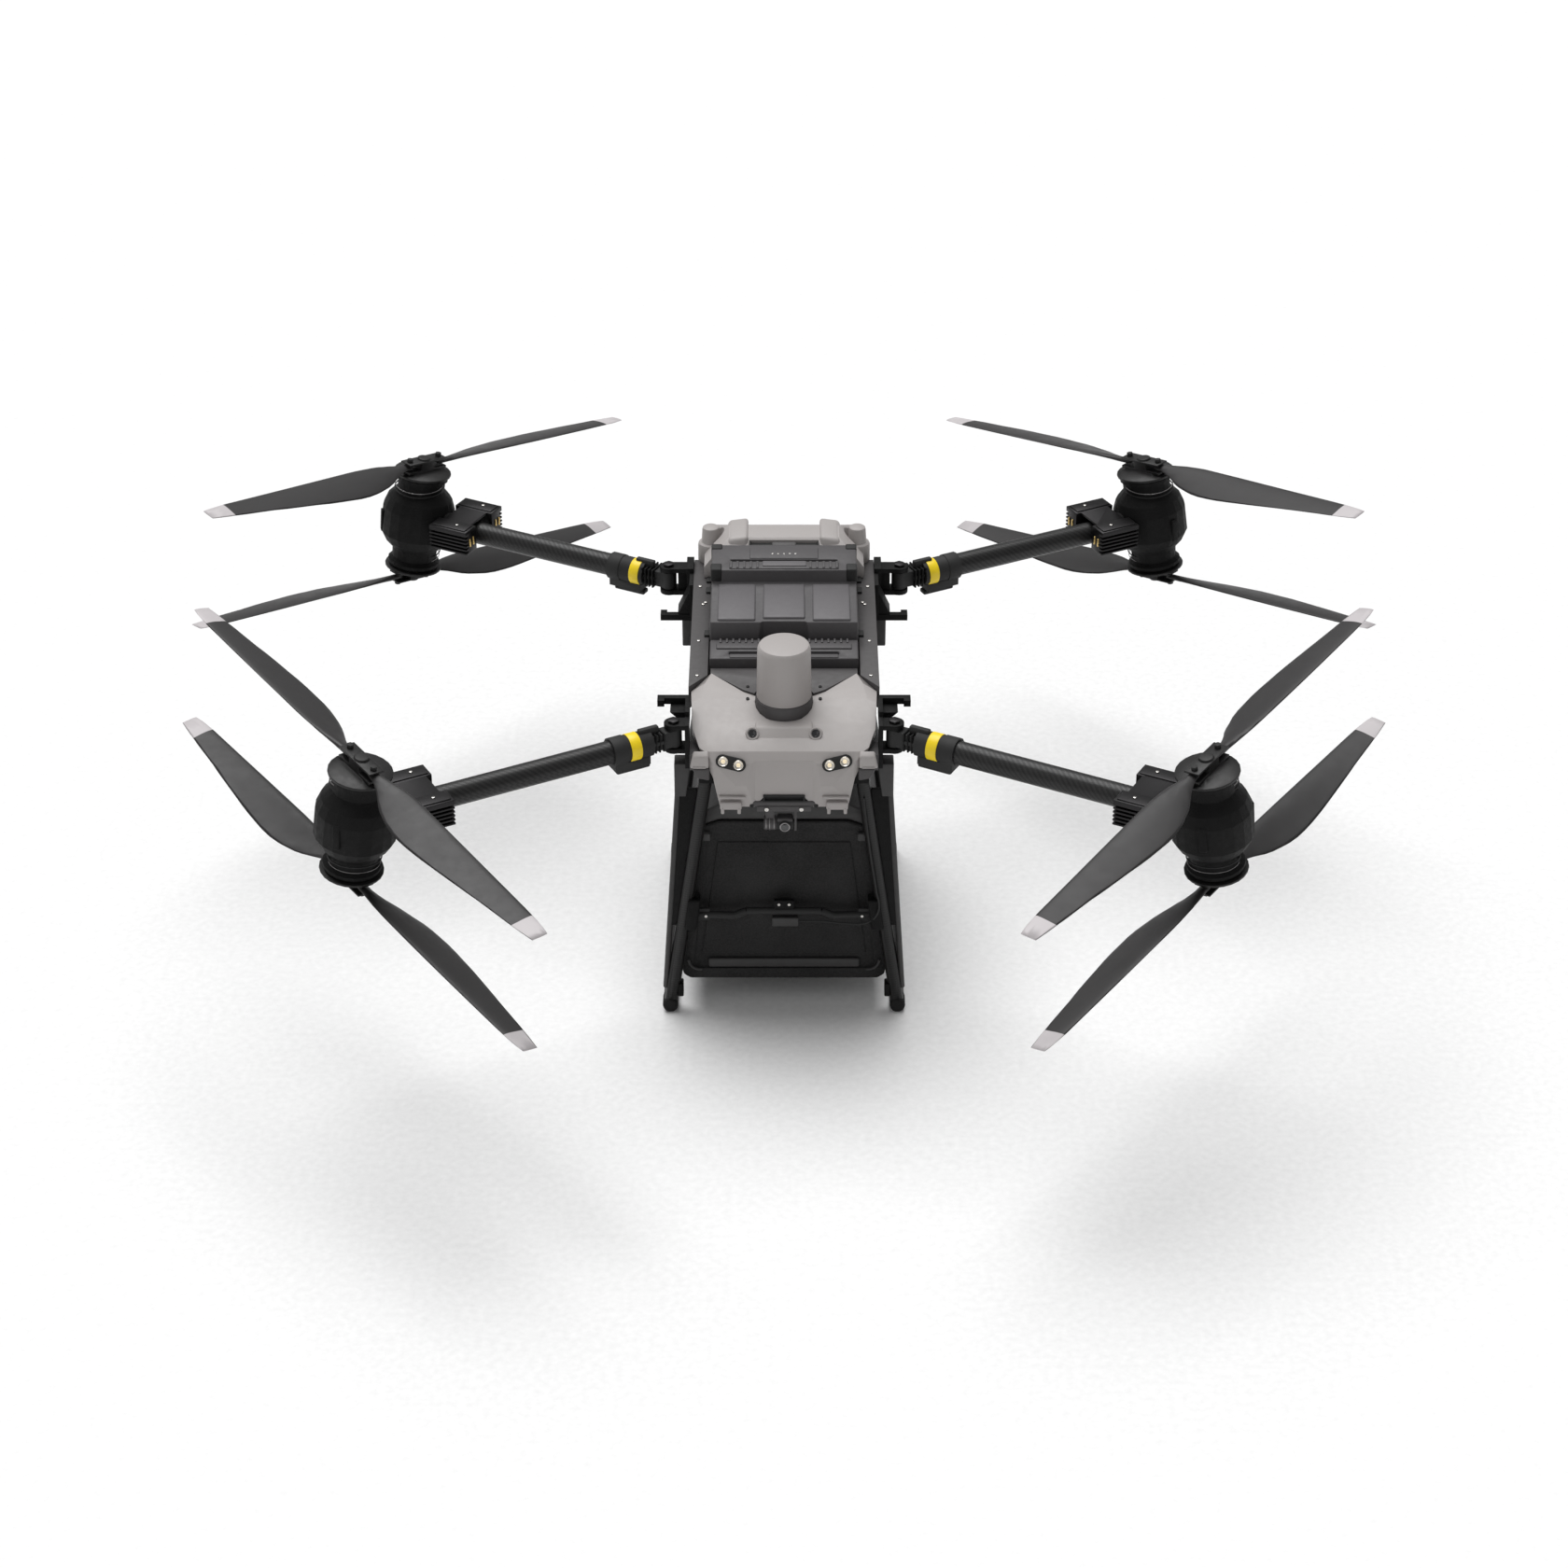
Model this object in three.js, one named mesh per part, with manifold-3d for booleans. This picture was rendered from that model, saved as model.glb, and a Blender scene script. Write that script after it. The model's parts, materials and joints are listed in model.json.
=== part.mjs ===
// Heavy-lift cargo drone: four folding arms, eight coaxial rotors, stacked batteries and a belly cargo case.
// Millimetres, +Z up, nose towards -Y, feet on z = 0, plan centre of the whole machine at x = y = 0.
import * as THREE from 'three';
import { mergeVertices } from 'three/addons/utils/BufferGeometryUtils.js';
import Module from 'manifold-3d';

const wasm = await Module();
wasm.setup();

// ---------------------------------------------------------------- driving dimensions
const GAP = 0.3;                    // clearance between pieces that touch
const ROTOR_RADIUS = 687.5;         // 54 inch rotors
const ARM_HEIGHT = 767;             // arm tube axis above the ground
const TUBE_RADIUS = 28;
const TUBE_WALL = 3;
const POD_AT = { x: 938, y: 743 };  // motor pod centre in plan, mirrored to four corners
const RAIL_OUTER = 222;             // outer face of the side rails
const HINGE_AT = { front: { x: 252, y: 372.5 }, rear: { x: 285, y: 408 } };
const HINGE = {
  front: {
    wall: [216.5, 226], run: [-24, 38], height: [694, 806],
    riser: 216.5, riserHeight: [772, 818], tip: 291, prongHeight: [802, 818],
  },
  rear: {
    wall: [RAIL_OUTER + GAP, 240], run: [-30, 36], height: [720, 812],
    riser: RAIL_OUTER + GAP, riserHeight: [702, 800], tip: 304, prongHeight: [702, 718],
  },
};
const HINGE_EAR = { radius: 22, overlap: 4, halfRun: 20, heights: [[24.5, 36], [-36, -24.5]] };
const HOOK = { riser: [20, 100], prong: [84, 100], tip: [72, 100], riserWidth: 10, tipWidth: 16 };
const TUBE_STOP = 106;              // from the pod centre back to the tube's outer end
const POD_LEAN = { inward: 25.6 / 259, roll: 32.3 / 259 };
const POD_BODY_RADIUS = 92;
const POD_NECK_RADIUS = 60;
const DISC_AT = 129.5;              // rotor disc plane from the pod centre
const DISC_RADIUS = 72;
const BLADE_PIVOT = 47;             // blade bolt from the rotor axis
const BLADE_LIFT = 22;              // blade plane beyond the rotor disc
const REST_ANGLE = { front: { upper: 51.4, lower: 50.8 }, rear: { upper: -45.7, lower: -45.2 } };
const RAIL = { inner: 178.5, outer: RAIL_OUTER, bottom: 742, top: 800 };
const CASE = { half: 246, front: -330, back: 330, bottom: 71, top: 512, wall: 12 };
const LEG = { radius: 17, topX: 175, footX: 272, topZ: 689.5, axisZ: 16, y: 352 };
const ARM_ENDS = ['front', 'rear'];
const SIDES = { left: -1, right: 1 };

// ---------------------------------------------------------------- finishes
const finish = (color, roughness, metalness = 0) => ({ color, roughness, metalness });
const FINISH = {
  shell: finish(0xaaa6a4, 0.55),
  darkShell: finish(0x5c595a, 0.6),
  battery: finish(0x5a585b, 0.55),
  blackPlastic: finish(0x1b1a1b, 0.55),
  roughBlack: finish(0x171717, 0.85),
  carbon: finish(0x202022, 0.4),
  blade: finish(0x474546, 0.45),
  alloy: finish(0x3a3a3c, 0.4, 0.7),
  foam: finish(0x1d1c1d, 0.95),
};

// ---------------------------------------------------------------- solid helpers
function toSolid(geometry) {
  const plain = geometry.index ? geometry.toNonIndexed() : geometry.clone();
  plain.deleteAttribute('normal');
  plain.deleteAttribute('uv');
  const welded = mergeVertices(plain, 1e-4);
  return new wasm.Manifold(new wasm.Mesh({
    numProp: 3,
    vertProperties: new Float32Array(welded.attributes.position.array),
    triVerts: new Uint32Array(welded.index.array),
  }));
}

function toGeometry(solid) {
  const mesh = solid.getMesh();
  const geometry = new THREE.BufferGeometry();
  geometry.setAttribute('position', new THREE.BufferAttribute(new Float32Array(mesh.vertProperties), 3));
  geometry.setIndex(new THREE.BufferAttribute(new Uint32Array(mesh.triVerts), 1));
  return geometry;
}

const join = (...solids) => solids.reduce((sum, solid) => sum.add(solid));
const cut = (solid, ...tools) => tools.reduce((rest, tool) => rest.subtract(tool), solid);
const common = (...solids) => solids.reduce((rest, solid) => rest.intersect(solid));

function block([x0, x1], [y0, y1], [z0, z1]) {
  const geometry = new THREE.BoxGeometry(x1 - x0, y1 - y0, z1 - z0);
  return toSolid(geometry.translate((x0 + x1) / 2, (y0 + y1) / 2, (z0 + z1) / 2));
}

function extruded(points, length) {
  const shape = new THREE.Shape(points.map(([u, v]) => new THREE.Vector2(u, v)));
  return new THREE.ExtrudeGeometry(shape, { depth: length, bevelEnabled: false });
}

// Outline in plan (x, y), raised from z0 to z1.
const planPrism = (points, z0, z1) => toSolid(extruded(points, z1 - z0).translate(0, 0, z0));

// Outline seen from the side (y, z), spread from x0 to x1.
function sidePrism(points, x0, x1) {
  const turn = new THREE.Matrix4().makeBasis(
    new THREE.Vector3(0, 1, 0), new THREE.Vector3(0, 0, 1), new THREE.Vector3(1, 0, 0));
  return toSolid(extruded(points, x1 - x0).applyMatrix4(turn).translate(x0, 0, 0));
}

// Outline seen from the back (x, z), spread from y0 to y1.
function frontPrism(points, y0, y1) {
  const turn = new THREE.Matrix4().makeBasis(
    new THREE.Vector3(1, 0, 0), new THREE.Vector3(0, 0, 1), new THREE.Vector3(0, -1, 0));
  return toSolid(extruded(points, y1 - y0).applyMatrix4(turn).translate(0, y1, 0));
}

// Both halves of an outline given for x >= 0, from the top centre round to the bottom centre.
const mirrored = (points) => [...points, ...points.map(([x, z]) => [-x, z]).reverse()];

// Profile of [radius, height] pairs, closed on the axis or on itself, turned about Z.
function turned(profile, segments = 20) {
  const points = profile.map(([radius, height]) => new THREE.Vector2(radius, height));
  return new THREE.LatheGeometry(points, segments).rotateX(Math.PI / 2);
}

const turnedSolid = (profile, segments) => toSolid(turned(profile, segments));

function rod(from, to, radius, segments = 12) {
  const a = new THREE.Vector3(...from);
  const b = new THREE.Vector3(...to);
  const along = b.clone().sub(a);
  const geometry = new THREE.CylinderGeometry(radius, radius, along.length(), segments);
  geometry.applyQuaternion(new THREE.Quaternion().setFromUnitVectors(
    new THREE.Vector3(0, 1, 0), along.normalize()));
  return toSolid(geometry.translate(...a.add(b).multiplyScalar(0.5).toArray()));
}

// Closed skin through rings of equal point counts, with flat ends.
function loft(rings) {
  const count = rings[0].length;
  const positions = rings.flat(2);
  const index = [];
  for (let r = 0; r + 1 < rings.length; r += 1) {
    for (let i = 0; i < count; i += 1) {
      const a = r * count + i;
      const b = r * count + ((i + 1) % count);
      index.push(a, b, a + count, b, b + count, a + count);
    }
  }
  const last = (rings.length - 1) * count;
  for (let i = 1; i + 1 < count; i += 1) {
    index.push(0, i + 1, i, last, last + i, last + i + 1);
  }
  const geometry = new THREE.BufferGeometry();
  geometry.setAttribute('position', new THREE.Float32BufferAttribute(positions, 3));
  geometry.setIndex(index);
  return geometry;
}

function piece(name, shape, look) {
  const geometry = shape.isBufferGeometry ? shape : toGeometry(shape);
  const mesh = new THREE.Mesh(geometry, new THREE.MeshStandardMaterial(look));
  mesh.name = name;
  return mesh;
}

// ---------------------------------------------------------------- airframe
// Box extents as [x range, y range, z range].
const FRAME_BOX = {
  frontBeam: [[-216.2, 216.2], [-398, -332], [690, 730]],
  rearBeam: [[-RAIL_OUTER, RAIL_OUTER], [318, 378], [690, 745]],
  noseBeam: [[-200, 200], [-142, -106], [700, 760]],
  leftSpine: [[-RAIL.inner, -150], [-360, 378], [716, 744]],
  rightSpine: [[150, RAIL.inner], [-360, 378], [716, 744]],
  frontTray: [[-181, 181], [-107, -0.5], [632, 762]],
  rearTray: [[-RAIL.inner, RAIL.inner], [-0.5, 346], [752, 767.4]],
};
const FRAME_POCKET = [[-175.5, 175.5], [-101.6, -5.6], [639.7, 900]];
const RAIL_RUN = { innerFront: -145.5, outerFront: -204, rear: 445 };

function airframe() {
  const rails = Object.values(SIDES).map((x) => planPrism([
    [x * RAIL.inner, RAIL_RUN.innerFront], [x * RAIL.outer, RAIL_RUN.outerFront],
    [x * RAIL.outer, RAIL_RUN.rear], [x * RAIL.inner, RAIL_RUN.rear],
  ], RAIL.bottom, RAIL.top));
  const boxes = Object.values(FRAME_BOX).map((extents) => block(...extents));
  const frame = join(...rails, ...boxes);
  return piece('airframe', cut(frame, block(...FRAME_POCKET)), FINISH.darkShell);
}

const CANISTER = { y: -250, radius: 66.5, bottom: 765, top: 939 };
const NOSE_PLAN = mirrored([
  [0, -240], [50, -240], [95, -212], [170, -135], [216, -197],
  [210, -335], [194, -385], [160, -412], [110, -418], [86, -418], [66, -408], [0, -408],
]);
const NOSE_SIDE = [
  [-120, 800], [-241, 790], [-317, 770], [-365, 752], [-395, 738],
  [-412, 715], [-418, 660], [-410, 600], [-392, 590], [-392, 700], [-120, 745],
];
const NOSE_FRONT = mirrored([
  [0, 801], [195, 800], [216, 785], [214, 748], [194, 740], [162, 676], [145, 590], [0, 590],
]);

const NOSE_ROOM = {
  plan: [
    [0, -90], [230, -90], [212, -197], [206, -335], [190, -382], [157, -407], [109, -412.5], [84, -412.5],
    [62, -402.5], [0, -402.5],
  ],
  side: [
    [-90, 794], [-241, 784], [-317, 764], [-365, 746], [-391, 733], [-406, 712], [-412, 660],
    [-404, 580], [-90, 580],
  ],
  front: [[0, 796], [192, 794], [211, 782], [208.5, 744], [190, 735], [157, 672], [140, 585], [0, 585]],
};

const NOSE_SPAN = { across: [-240, 240], along: [-430, -80], up: [570, 820] };
const NOSE_UNDERSIDE = [[-240, 240], [-399, -80], [570, 731]];
const CHIN_ARCH = { outline: [[0, 628], [42, 628], [66, 604], [66, 580], [0, 580]], along: [-430, -380] };

function noseBody(plan, side, front) {
  return common(
    planPrism(plan, ...NOSE_SPAN.up),
    sidePrism(side, ...NOSE_SPAN.across),
    frontPrism(front, ...NOSE_SPAN.along),
  );
}

// Round well about the parachute canister's axis.
function canisterWell(radius, bottom) {
  const top = NOSE_SPAN.up[1];
  return turnedSolid([[0, bottom], [radius, bottom], [radius, top], [0, top]]).translate([0, CANISTER.y, 0]);
}

function noseShell() {
  const whole = noseBody(NOSE_PLAN, NOSE_SIDE, NOSE_FRONT);
  const room = noseBody(mirrored(NOSE_ROOM.plan), NOSE_ROOM.side, mirrored(NOSE_ROOM.front));
  const underneath = block(...NOSE_UNDERSIDE);
  const well = canisterWell(CANISTER.radius + 1, 740);
  const chin = frontPrism(mirrored(CHIN_ARCH.outline), ...CHIN_ARCH.along);
  return piece('nose_shell', cut(whole, room, underneath, well, chin), FINISH.shell);
}

function noseDeck() {
  const outline = mirrored([
    [0, -239.5], [50, -239.5], [94.6, -211.4], [169, -134.6], [172, -134.6], [172, -108], [0, -108],
  ]);
  return piece('nose_deck', cut(planPrism(outline, 786, 797), canisterWell(72, 760)), FINISH.darkShell);
}

function parachutePack() {
  const { radius, bottom, top } = CANISTER;
  const profile = [
    [0, bottom], [radius, bottom], [radius, 805], [64, 805.5], [61, top - 7], [55, top], [0, top],
  ];
  const mesh = piece('parachute_pack', turned(profile, 28), FINISH.shell);
  mesh.position.set(0, CANISTER.y, 0);
  return mesh;
}

const ANTENNA = { x: 181, y: 450, radius: 32 };
const COVER = {
  side: [[346.5, 801], [346.5, 866], [388, 892], [452, 892], [520, 860], [548, 815], [548, 801]],
  back: [[0, 905], [120, 905], [172, 862], [196, 830], [196, 801], [0, 801]],
  across: [-200, 200],
  along: [340, 570],
  room: [[-140, 140], [352, 500], [790, 846]],
  window: [[-85, 85], [340, 380], [846, 890]],
  well: [790, 910],
};

function rearCover() {
  const length = sidePrism(COVER.side, ...COVER.across);
  const whole = common(length, frontPrism(mirrored(COVER.back), ...COVER.along));
  const [low, high] = COVER.well;
  const reach = ANTENNA.radius + 1.5;
  const wells = Object.values(SIDES).map((x) => turnedSolid(
    [[0, low], [reach, low], [reach, high], [0, high]]).translate([x * ANTENNA.x, ANTENNA.y, 0]));
  const hollow = join(block(...COVER.room), block(...COVER.window));
  return piece('rear_cover', cut(whole, hollow, ...wells), FINISH.shell);
}

function gnssAntenna(side, x) {
  const profile = [
    [0, 801], [ANTENNA.radius, 801], [31, 848], [29, 850], [29, 860], [23, 862], [21, 886],
    [17, 890], [0, 890],
  ];
  const mesh = piece(`gnss_antenna_${side}`, turned(profile, 20), FINISH.shell);
  mesh.position.set(x * ANTENNA.x, ANTENNA.y, 0);
  return mesh;
}

// ---------------------------------------------------------------- batteries
const SLOT = { half: 129, width: 16, depth: 30 };
const BATTERY_HALF = 175;
const FRONT_BATTERY = { y: [-101, -6], z: [640, 819], slotY: -72 };
const REAR_BATTERY = {
  side: [[0, 768], [0, 829], [10, 857], [206, 860], [208, 893], [343, 893], [343, 768]],
  notch: [[-63, -5], [63, -5], [51, 14], [-51, 14]],
  notchHeight: [760, 870],
  slotY: 258,
  top: 893,
};

function handleSlot(y, top) {
  const run = [y - SLOT.width / 2, y + SLOT.width / 2];
  return block([-SLOT.half, SLOT.half], run, [top - SLOT.depth, top + 5]);
}

function frontBattery() {
  const { y, z, slotY } = FRONT_BATTERY;
  const body = block([-BATTERY_HALF, BATTERY_HALF], y, z);
  return piece('battery_front', cut(body, handleSlot(slotY, z[1])), FINISH.battery);
}

function rearBattery() {
  const whole = sidePrism(REAR_BATTERY.side, -BATTERY_HALF, BATTERY_HALF);
  const notch = planPrism(REAR_BATTERY.notch, ...REAR_BATTERY.notchHeight);
  const body = cut(whole, notch, handleSlot(REAR_BATTERY.slotY, REAR_BATTERY.top));
  return piece('battery_rear', body, FINISH.battery);
}

// ---------------------------------------------------------------- cargo case and landing gear
const CASE_OUTLINE = [
  [0, CASE.top], [150, CASE.top], [202, 492], [CASE.half, 110], [CASE.half - 6, 82],
  [CASE.half - 22, CASE.bottom], [0, CASE.bottom],
];

function cargoCase() {
  const whole = frontPrism(mirrored(CASE_OUTLINE), CASE.front, CASE.back);
  const room = frontPrism(mirrored([
    [0, CASE.top + 5], [138, CASE.top + 5], [138, CASE.top - 12], [192, 480],
    [CASE.half - CASE.wall, 112], [CASE.half - 26, 83], [0, 83],
  ]), CASE.front + CASE.wall, CASE.back - CASE.wall);
  return piece('cargo_case', cut(whole, room), FINISH.foam);
}

const LID_HANGERS = [
  [[-20, 20], [-75, -35], [560, 632 - GAP]],
  [[-20, 20], [240, 280], [560, 752 - GAP]],
];

function caseLid() {
  const outline = mirrored([
    [0, 566], [128, 566], [190, 536], [208, 500], [202.6, 492.6], [150.3, CASE.top + GAP],
    [0, CASE.top + GAP],
  ]);
  const lid = frontPrism(outline, CASE.front + 6, CASE.back - 6);
  const hangers = LID_HANGERS.map((extents) => block(...extents));
  return piece('case_lid', join(lid, ...hangers), FINISH.darkShell);
}

const LEG_CAP = { halfWidth: 17, halfLength: 22, height: [660, 690 - GAP] };
const LEG_LEVEL = [[-400, 400], [-500, 500], [0, 690 - GAP]];

function landingLeg(side, x) {
  const { halfWidth, halfLength, height } = LEG_CAP;
  const middle = x * LEG.topX;
  const legs = [-LEG.y, LEG.y].map((y) => join(
    rod([middle, y, LEG.topZ], [x * LEG.footX, y, LEG.axisZ], LEG.radius),
    block([middle - halfWidth, middle + halfWidth], [y - halfLength, y + halfLength], height),
  ));
  const level = block(...LEG_LEVEL);
  const reach = LEG.y + 15;
  const skid = rod([x * LEG.footX, -reach, LEG.axisZ], [x * LEG.footX, reach, LEG.axisZ], LEG.radius, 16);
  return piece(`landing_leg_${side}`, common(join(...legs, skid), level), FINISH.carbon);
}

const CROSSBAR = {
  bends: [[-215, 268], [-116, 264], [-88, 277], [88, 277], [116, 264], [215, 268]],
  y: -350,
  radius: 9,
  plates: [[[-216, -176], [-353, -347], [252, 284]], [[176, 216], [-353, -347], [252, 284]]],
};

function crossbar() {
  const { bends, y, radius } = CROSSBAR;
  const parts = bends.slice(1).map(([x, z], i) => rod([bends[i][0], y, bends[i][1]], [x, y, z], radius));
  const plates = CROSSBAR.plates.map((extents) => block(...extents));
  return piece('leg_crossbar', join(...parts, ...plates), FINISH.carbon);
}

// ---------------------------------------------------------------- nose camera
const CAMERA_AT = [2, -400, 552];

const CHIN_PLATE = [[-62, 62], [-412, -386], [588, 601]];
const CHIN_STEM = [[-20, 20], [-397, -387], [601, 690 - GAP]];
const YOKE_TOP = 590;

function cameraBracket() {
  const [x, y, z] = CAMERA_AT;
  const motor = rod([x - 48, y, z], [x - 20, y, z], 17, 20);
  const drop = block([x - 44, x - 24], [y - 8, y + 8], [z, YOKE_TOP]);
  const cheek = block([x + 22, x + 27], [y - 13, y + 13], [z - 15, YOKE_TOP]);
  const plates = [CHIN_PLATE, CHIN_STEM].map((extents) => block(...extents));
  return piece('camera_bracket', join(...plates, motor, drop, cheek), FINISH.darkShell);
}

function cameraHead() {
  const barrel = rod([-19, 0, 0], [19, 0, 0], 16, 20);
  const lens = rod([0, -22, 0], [0, 0, 0], 12, 20);
  const mesh = piece('camera_head', join(barrel, lens), FINISH.blackPlastic);
  mesh.position.set(...CAMERA_AT);
  return mesh;
}

// ---------------------------------------------------------------- arms
// Each arm is drawn along its own +X from the hinge, then turned and moved into place.
function armHinge(tag, x, end) {
  const sizes = HINGE[end];
  const lengthwise = end === 'front' ? 1 : -1;
  const centre = -lengthwise * HINGE_AT[end].y;
  const across = ([low, high]) => (x > 0 ? [low, high] : [-high, -low]);
  const along = ([low, high]) => (
    lengthwise > 0 ? [centre + low, centre + high] : [centre - high, centre - low]);
  const box = (width, run, height) => block(across(width), along(run), height);
  const { radius, overlap, halfRun, heights } = HINGE_EAR;
  const pin = HINGE_AT[end].x;
  const ears = heights.map(([low, high]) => join(
    turnedSolid([[0, low], [radius, low], [radius, high], [0, high]], 16)
      .translate([x * pin, centre, ARM_HEIGHT]),
    box([sizes.wall[1] - overlap, pin], [-halfRun, halfRun], [ARM_HEIGHT + low, ARM_HEIGHT + high]),
  ));
  const hook = join(
    box([sizes.riser, sizes.riser + HOOK.riserWidth], HOOK.riser, sizes.riserHeight),
    box([sizes.riser, sizes.tip], HOOK.prong, sizes.prongHeight),
    box([sizes.tip - HOOK.tipWidth, sizes.tip], HOOK.tip, sizes.prongHeight),
  );
  const wall = box(sizes.wall, sizes.run, sizes.height);
  return piece(`arm_hinge_${tag}`, join(wall, ...ears, hook), FINISH.roughBlack);
}

const SOCKET = {
  knuckle: [[0, -22], [19, -22], [19, 22], [0, 22]],
  neck: [[8, 70], [-16, 16], [-20, 20]],
  sleeve: [62, 150],
  collar: [128, 162],
  clamp: [[70, 158], [-22, 22], [-TUBE_RADIUS - 16, -TUBE_RADIUS + 4]],
  seat: 80,
};

function armSocket(tag) {
  const along = ([from, to], radius) => rod([from, 0, 0], [to, 0, 0], radius, 16);
  const knuckle = turnedSolid(SOCKET.knuckle, 16);
  const neck = block(...SOCKET.neck);
  const sleeve = along(SOCKET.sleeve, TUBE_RADIUS + 4);
  const collar = along(SOCKET.collar, TUBE_RADIUS + 6);
  const clamp = block(...SOCKET.clamp);
  const bore = along([SOCKET.seat, 200], TUBE_RADIUS + GAP);
  const whole = join(knuckle, neck, sleeve, collar, clamp);
  return piece(`arm_socket_${tag}`, cut(whole, bore), FINISH.blackPlastic);
}

function armTube(tag, length) {
  const inner = TUBE_RADIUS - TUBE_WALL;
  const [start, stop] = [SOCKET.seat + GAP, length - TUBE_STOP];
  const profile = [[inner, start], [TUBE_RADIUS, start], [TUBE_RADIUS, stop], [inner, stop], [inner, start]];
  return piece(`arm_tube_${tag}`, turned(profile, 16).rotateY(Math.PI / 2), FINISH.carbon);
}

const podAxis = (roll) => new THREE.Vector3(-POD_LEAN.inward, roll * POD_LEAN.roll, 1).normalize();

function motorPod(tag, length, roll) {
  const profile = [
    [0, -125], [62, -125], [66, -120], [66, -112], [56, -104], [58, -78], [80, -56], [POD_BODY_RADIUS, -34],
    [POD_BODY_RADIUS, 34], [82, 62], [POD_NECK_RADIUS, 86], [POD_NECK_RADIUS, 112],
    [66, 114], [66, 123], [0, 123],
  ];
  const leaning = new THREE.Quaternion().setFromUnitVectors(new THREE.Vector3(0, 0, 1), podAxis(roll));
  const barrel = toSolid(turned(profile, 20).applyQuaternion(leaning).translate(length, 0, 0));
  const boss = rod([length - 150, 0, 0], [length - 40, 0, 0], TUBE_RADIUS + 7, 16);
  const bore = rod([length - 200, 0, 0], [length - TUBE_STOP + GAP, 0, 0], TUBE_RADIUS + GAP, 16);
  return piece(`motor_pod_${tag}`, cut(join(barrel, boss), bore), FINISH.roughBlack);
}

const CONTROLLER = { near: 199, far: 91, inner: 38, outer: 88, bottom: -22, saddle: 35.3, top: 41 };
const COOLING_SLOT = { count: 5, pitch: 10, first: -17, height: 5, depth: 12 };

function speedControllers(tag, length) {
  const [from, to] = [length - CONTROLLER.near, length - CONTROLLER.far];
  const { inner, outer, bottom, saddle: seat, top } = CONTROLLER;
  const saddle = block([from + 14, to - 14], [-outer, outer], [seat, top]);
  const boxes = [[inner, outer], [-outer, -inner]].map((across) => block([from, to], across, [bottom, top]));
  const floor = outer - COOLING_SLOT.depth;
  const slots = Array.from({ length: COOLING_SLOT.count }, (_, i) => {
    const low = COOLING_SLOT.first + i * COOLING_SLOT.pitch;
    const height = [low, low + COOLING_SLOT.height];
    return join(
      block([from - 1, to + 1], [floor, outer + 2], height),
      block([from - 1, to + 1], [-outer - 2, -floor], height),
    );
  });
  return piece(`speed_controllers_${tag}`, cut(join(saddle, ...boxes), ...slots), FINISH.alloy);
}

// ---------------------------------------------------------------- rotors
// A rotor group's local +Z points away from the pod and its local +X along the first blade.
const YOKE = {
  reach: BLADE_PIVOT + 14, half: 19, core: 20, base: [7, 14], cap: [BLADE_LIFT + 8, BLADE_LIFT + 13],
};

function rotorHub(tag) {
  const disc = turnedSolid([[0, -3], [DISC_RADIUS, -3], [DISC_RADIUS, 3], [40, 8], [0, 8]], 24);
  const [across, width] = [[-YOKE.reach, YOKE.reach], [-YOKE.half, YOKE.half]];
  const yoke = join(
    block(across, width, YOKE.base),
    block(across, width, YOKE.cap),
    block([-YOKE.core, YOKE.core], width, [YOKE.base[0], YOKE.cap[1]]),
  );
  return piece(`rotor_hub_${tag}`, join(disc, yoke), FINISH.alloy);
}

const BLADE_SECTIONS = [
  // distance from the rotor axis, chord, chord share ahead of the pivot line, thickness, pitch in degrees
  [BLADE_PIVOT - 11, 26, 0.5, 13, 0], [BLADE_PIVOT + 22, 26, 0.5, 13, 4], [100, 46, 0.45, 11, 16],
  [150, 84, 0.36, 10, 19], [228, 106, 0.31, 9, 17], [320, 101, 0.31, 8, 14], [430, 86, 0.34, 7, 11],
  [560, 66, 0.4, 5.5, 9], [650, 54, 0.44, 4.5, 7.5], [ROTOR_RADIUS, 40, 0.42, 3.6, 7],
];
const SECTION_OUTLINE = [
  [0, 0], [0.12, 0.5], [0.45, 0.62], [1, 0.08], [1, -0.12], [0.45, -0.38], [0.12, -0.4],
];

function bladeRing([radius, chord, ahead, thickness, pitch], spin, lift) {
  const angle = THREE.MathUtils.degToRad(pitch);
  return SECTION_OUTLINE.map(([along, height]) => {
    const across = chord * (ahead - along);
    const up = thickness * height;
    return [
      radius,
      spin * (across * Math.cos(angle) - up * Math.sin(angle)),
      BLADE_LIFT - lift + lift * (across * Math.sin(angle) + up * Math.cos(angle)),
    ];
  });
}

function blade(tag, spin, lift) {
  const rings = BLADE_SECTIONS.map((section) => bladeRing(section, spin, lift));
  const ordered = spin * lift > 0 ? rings : rings.map((ring) => [...ring].reverse());
  return piece(`blade_${tag}`, loft(ordered), FINISH.blade);
}

function rotor(tag, spin, level) {
  const group = new THREE.Group();
  const lift = level === 'upper' ? 1 : -1;
  const first = blade(`${tag}_a`, spin * lift, lift);
  const second = blade(`${tag}_b`, spin * lift, lift);
  second.rotation.z = Math.PI;
  group.add(rotorHub(tag), first, second);
  return group;
}

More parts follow.
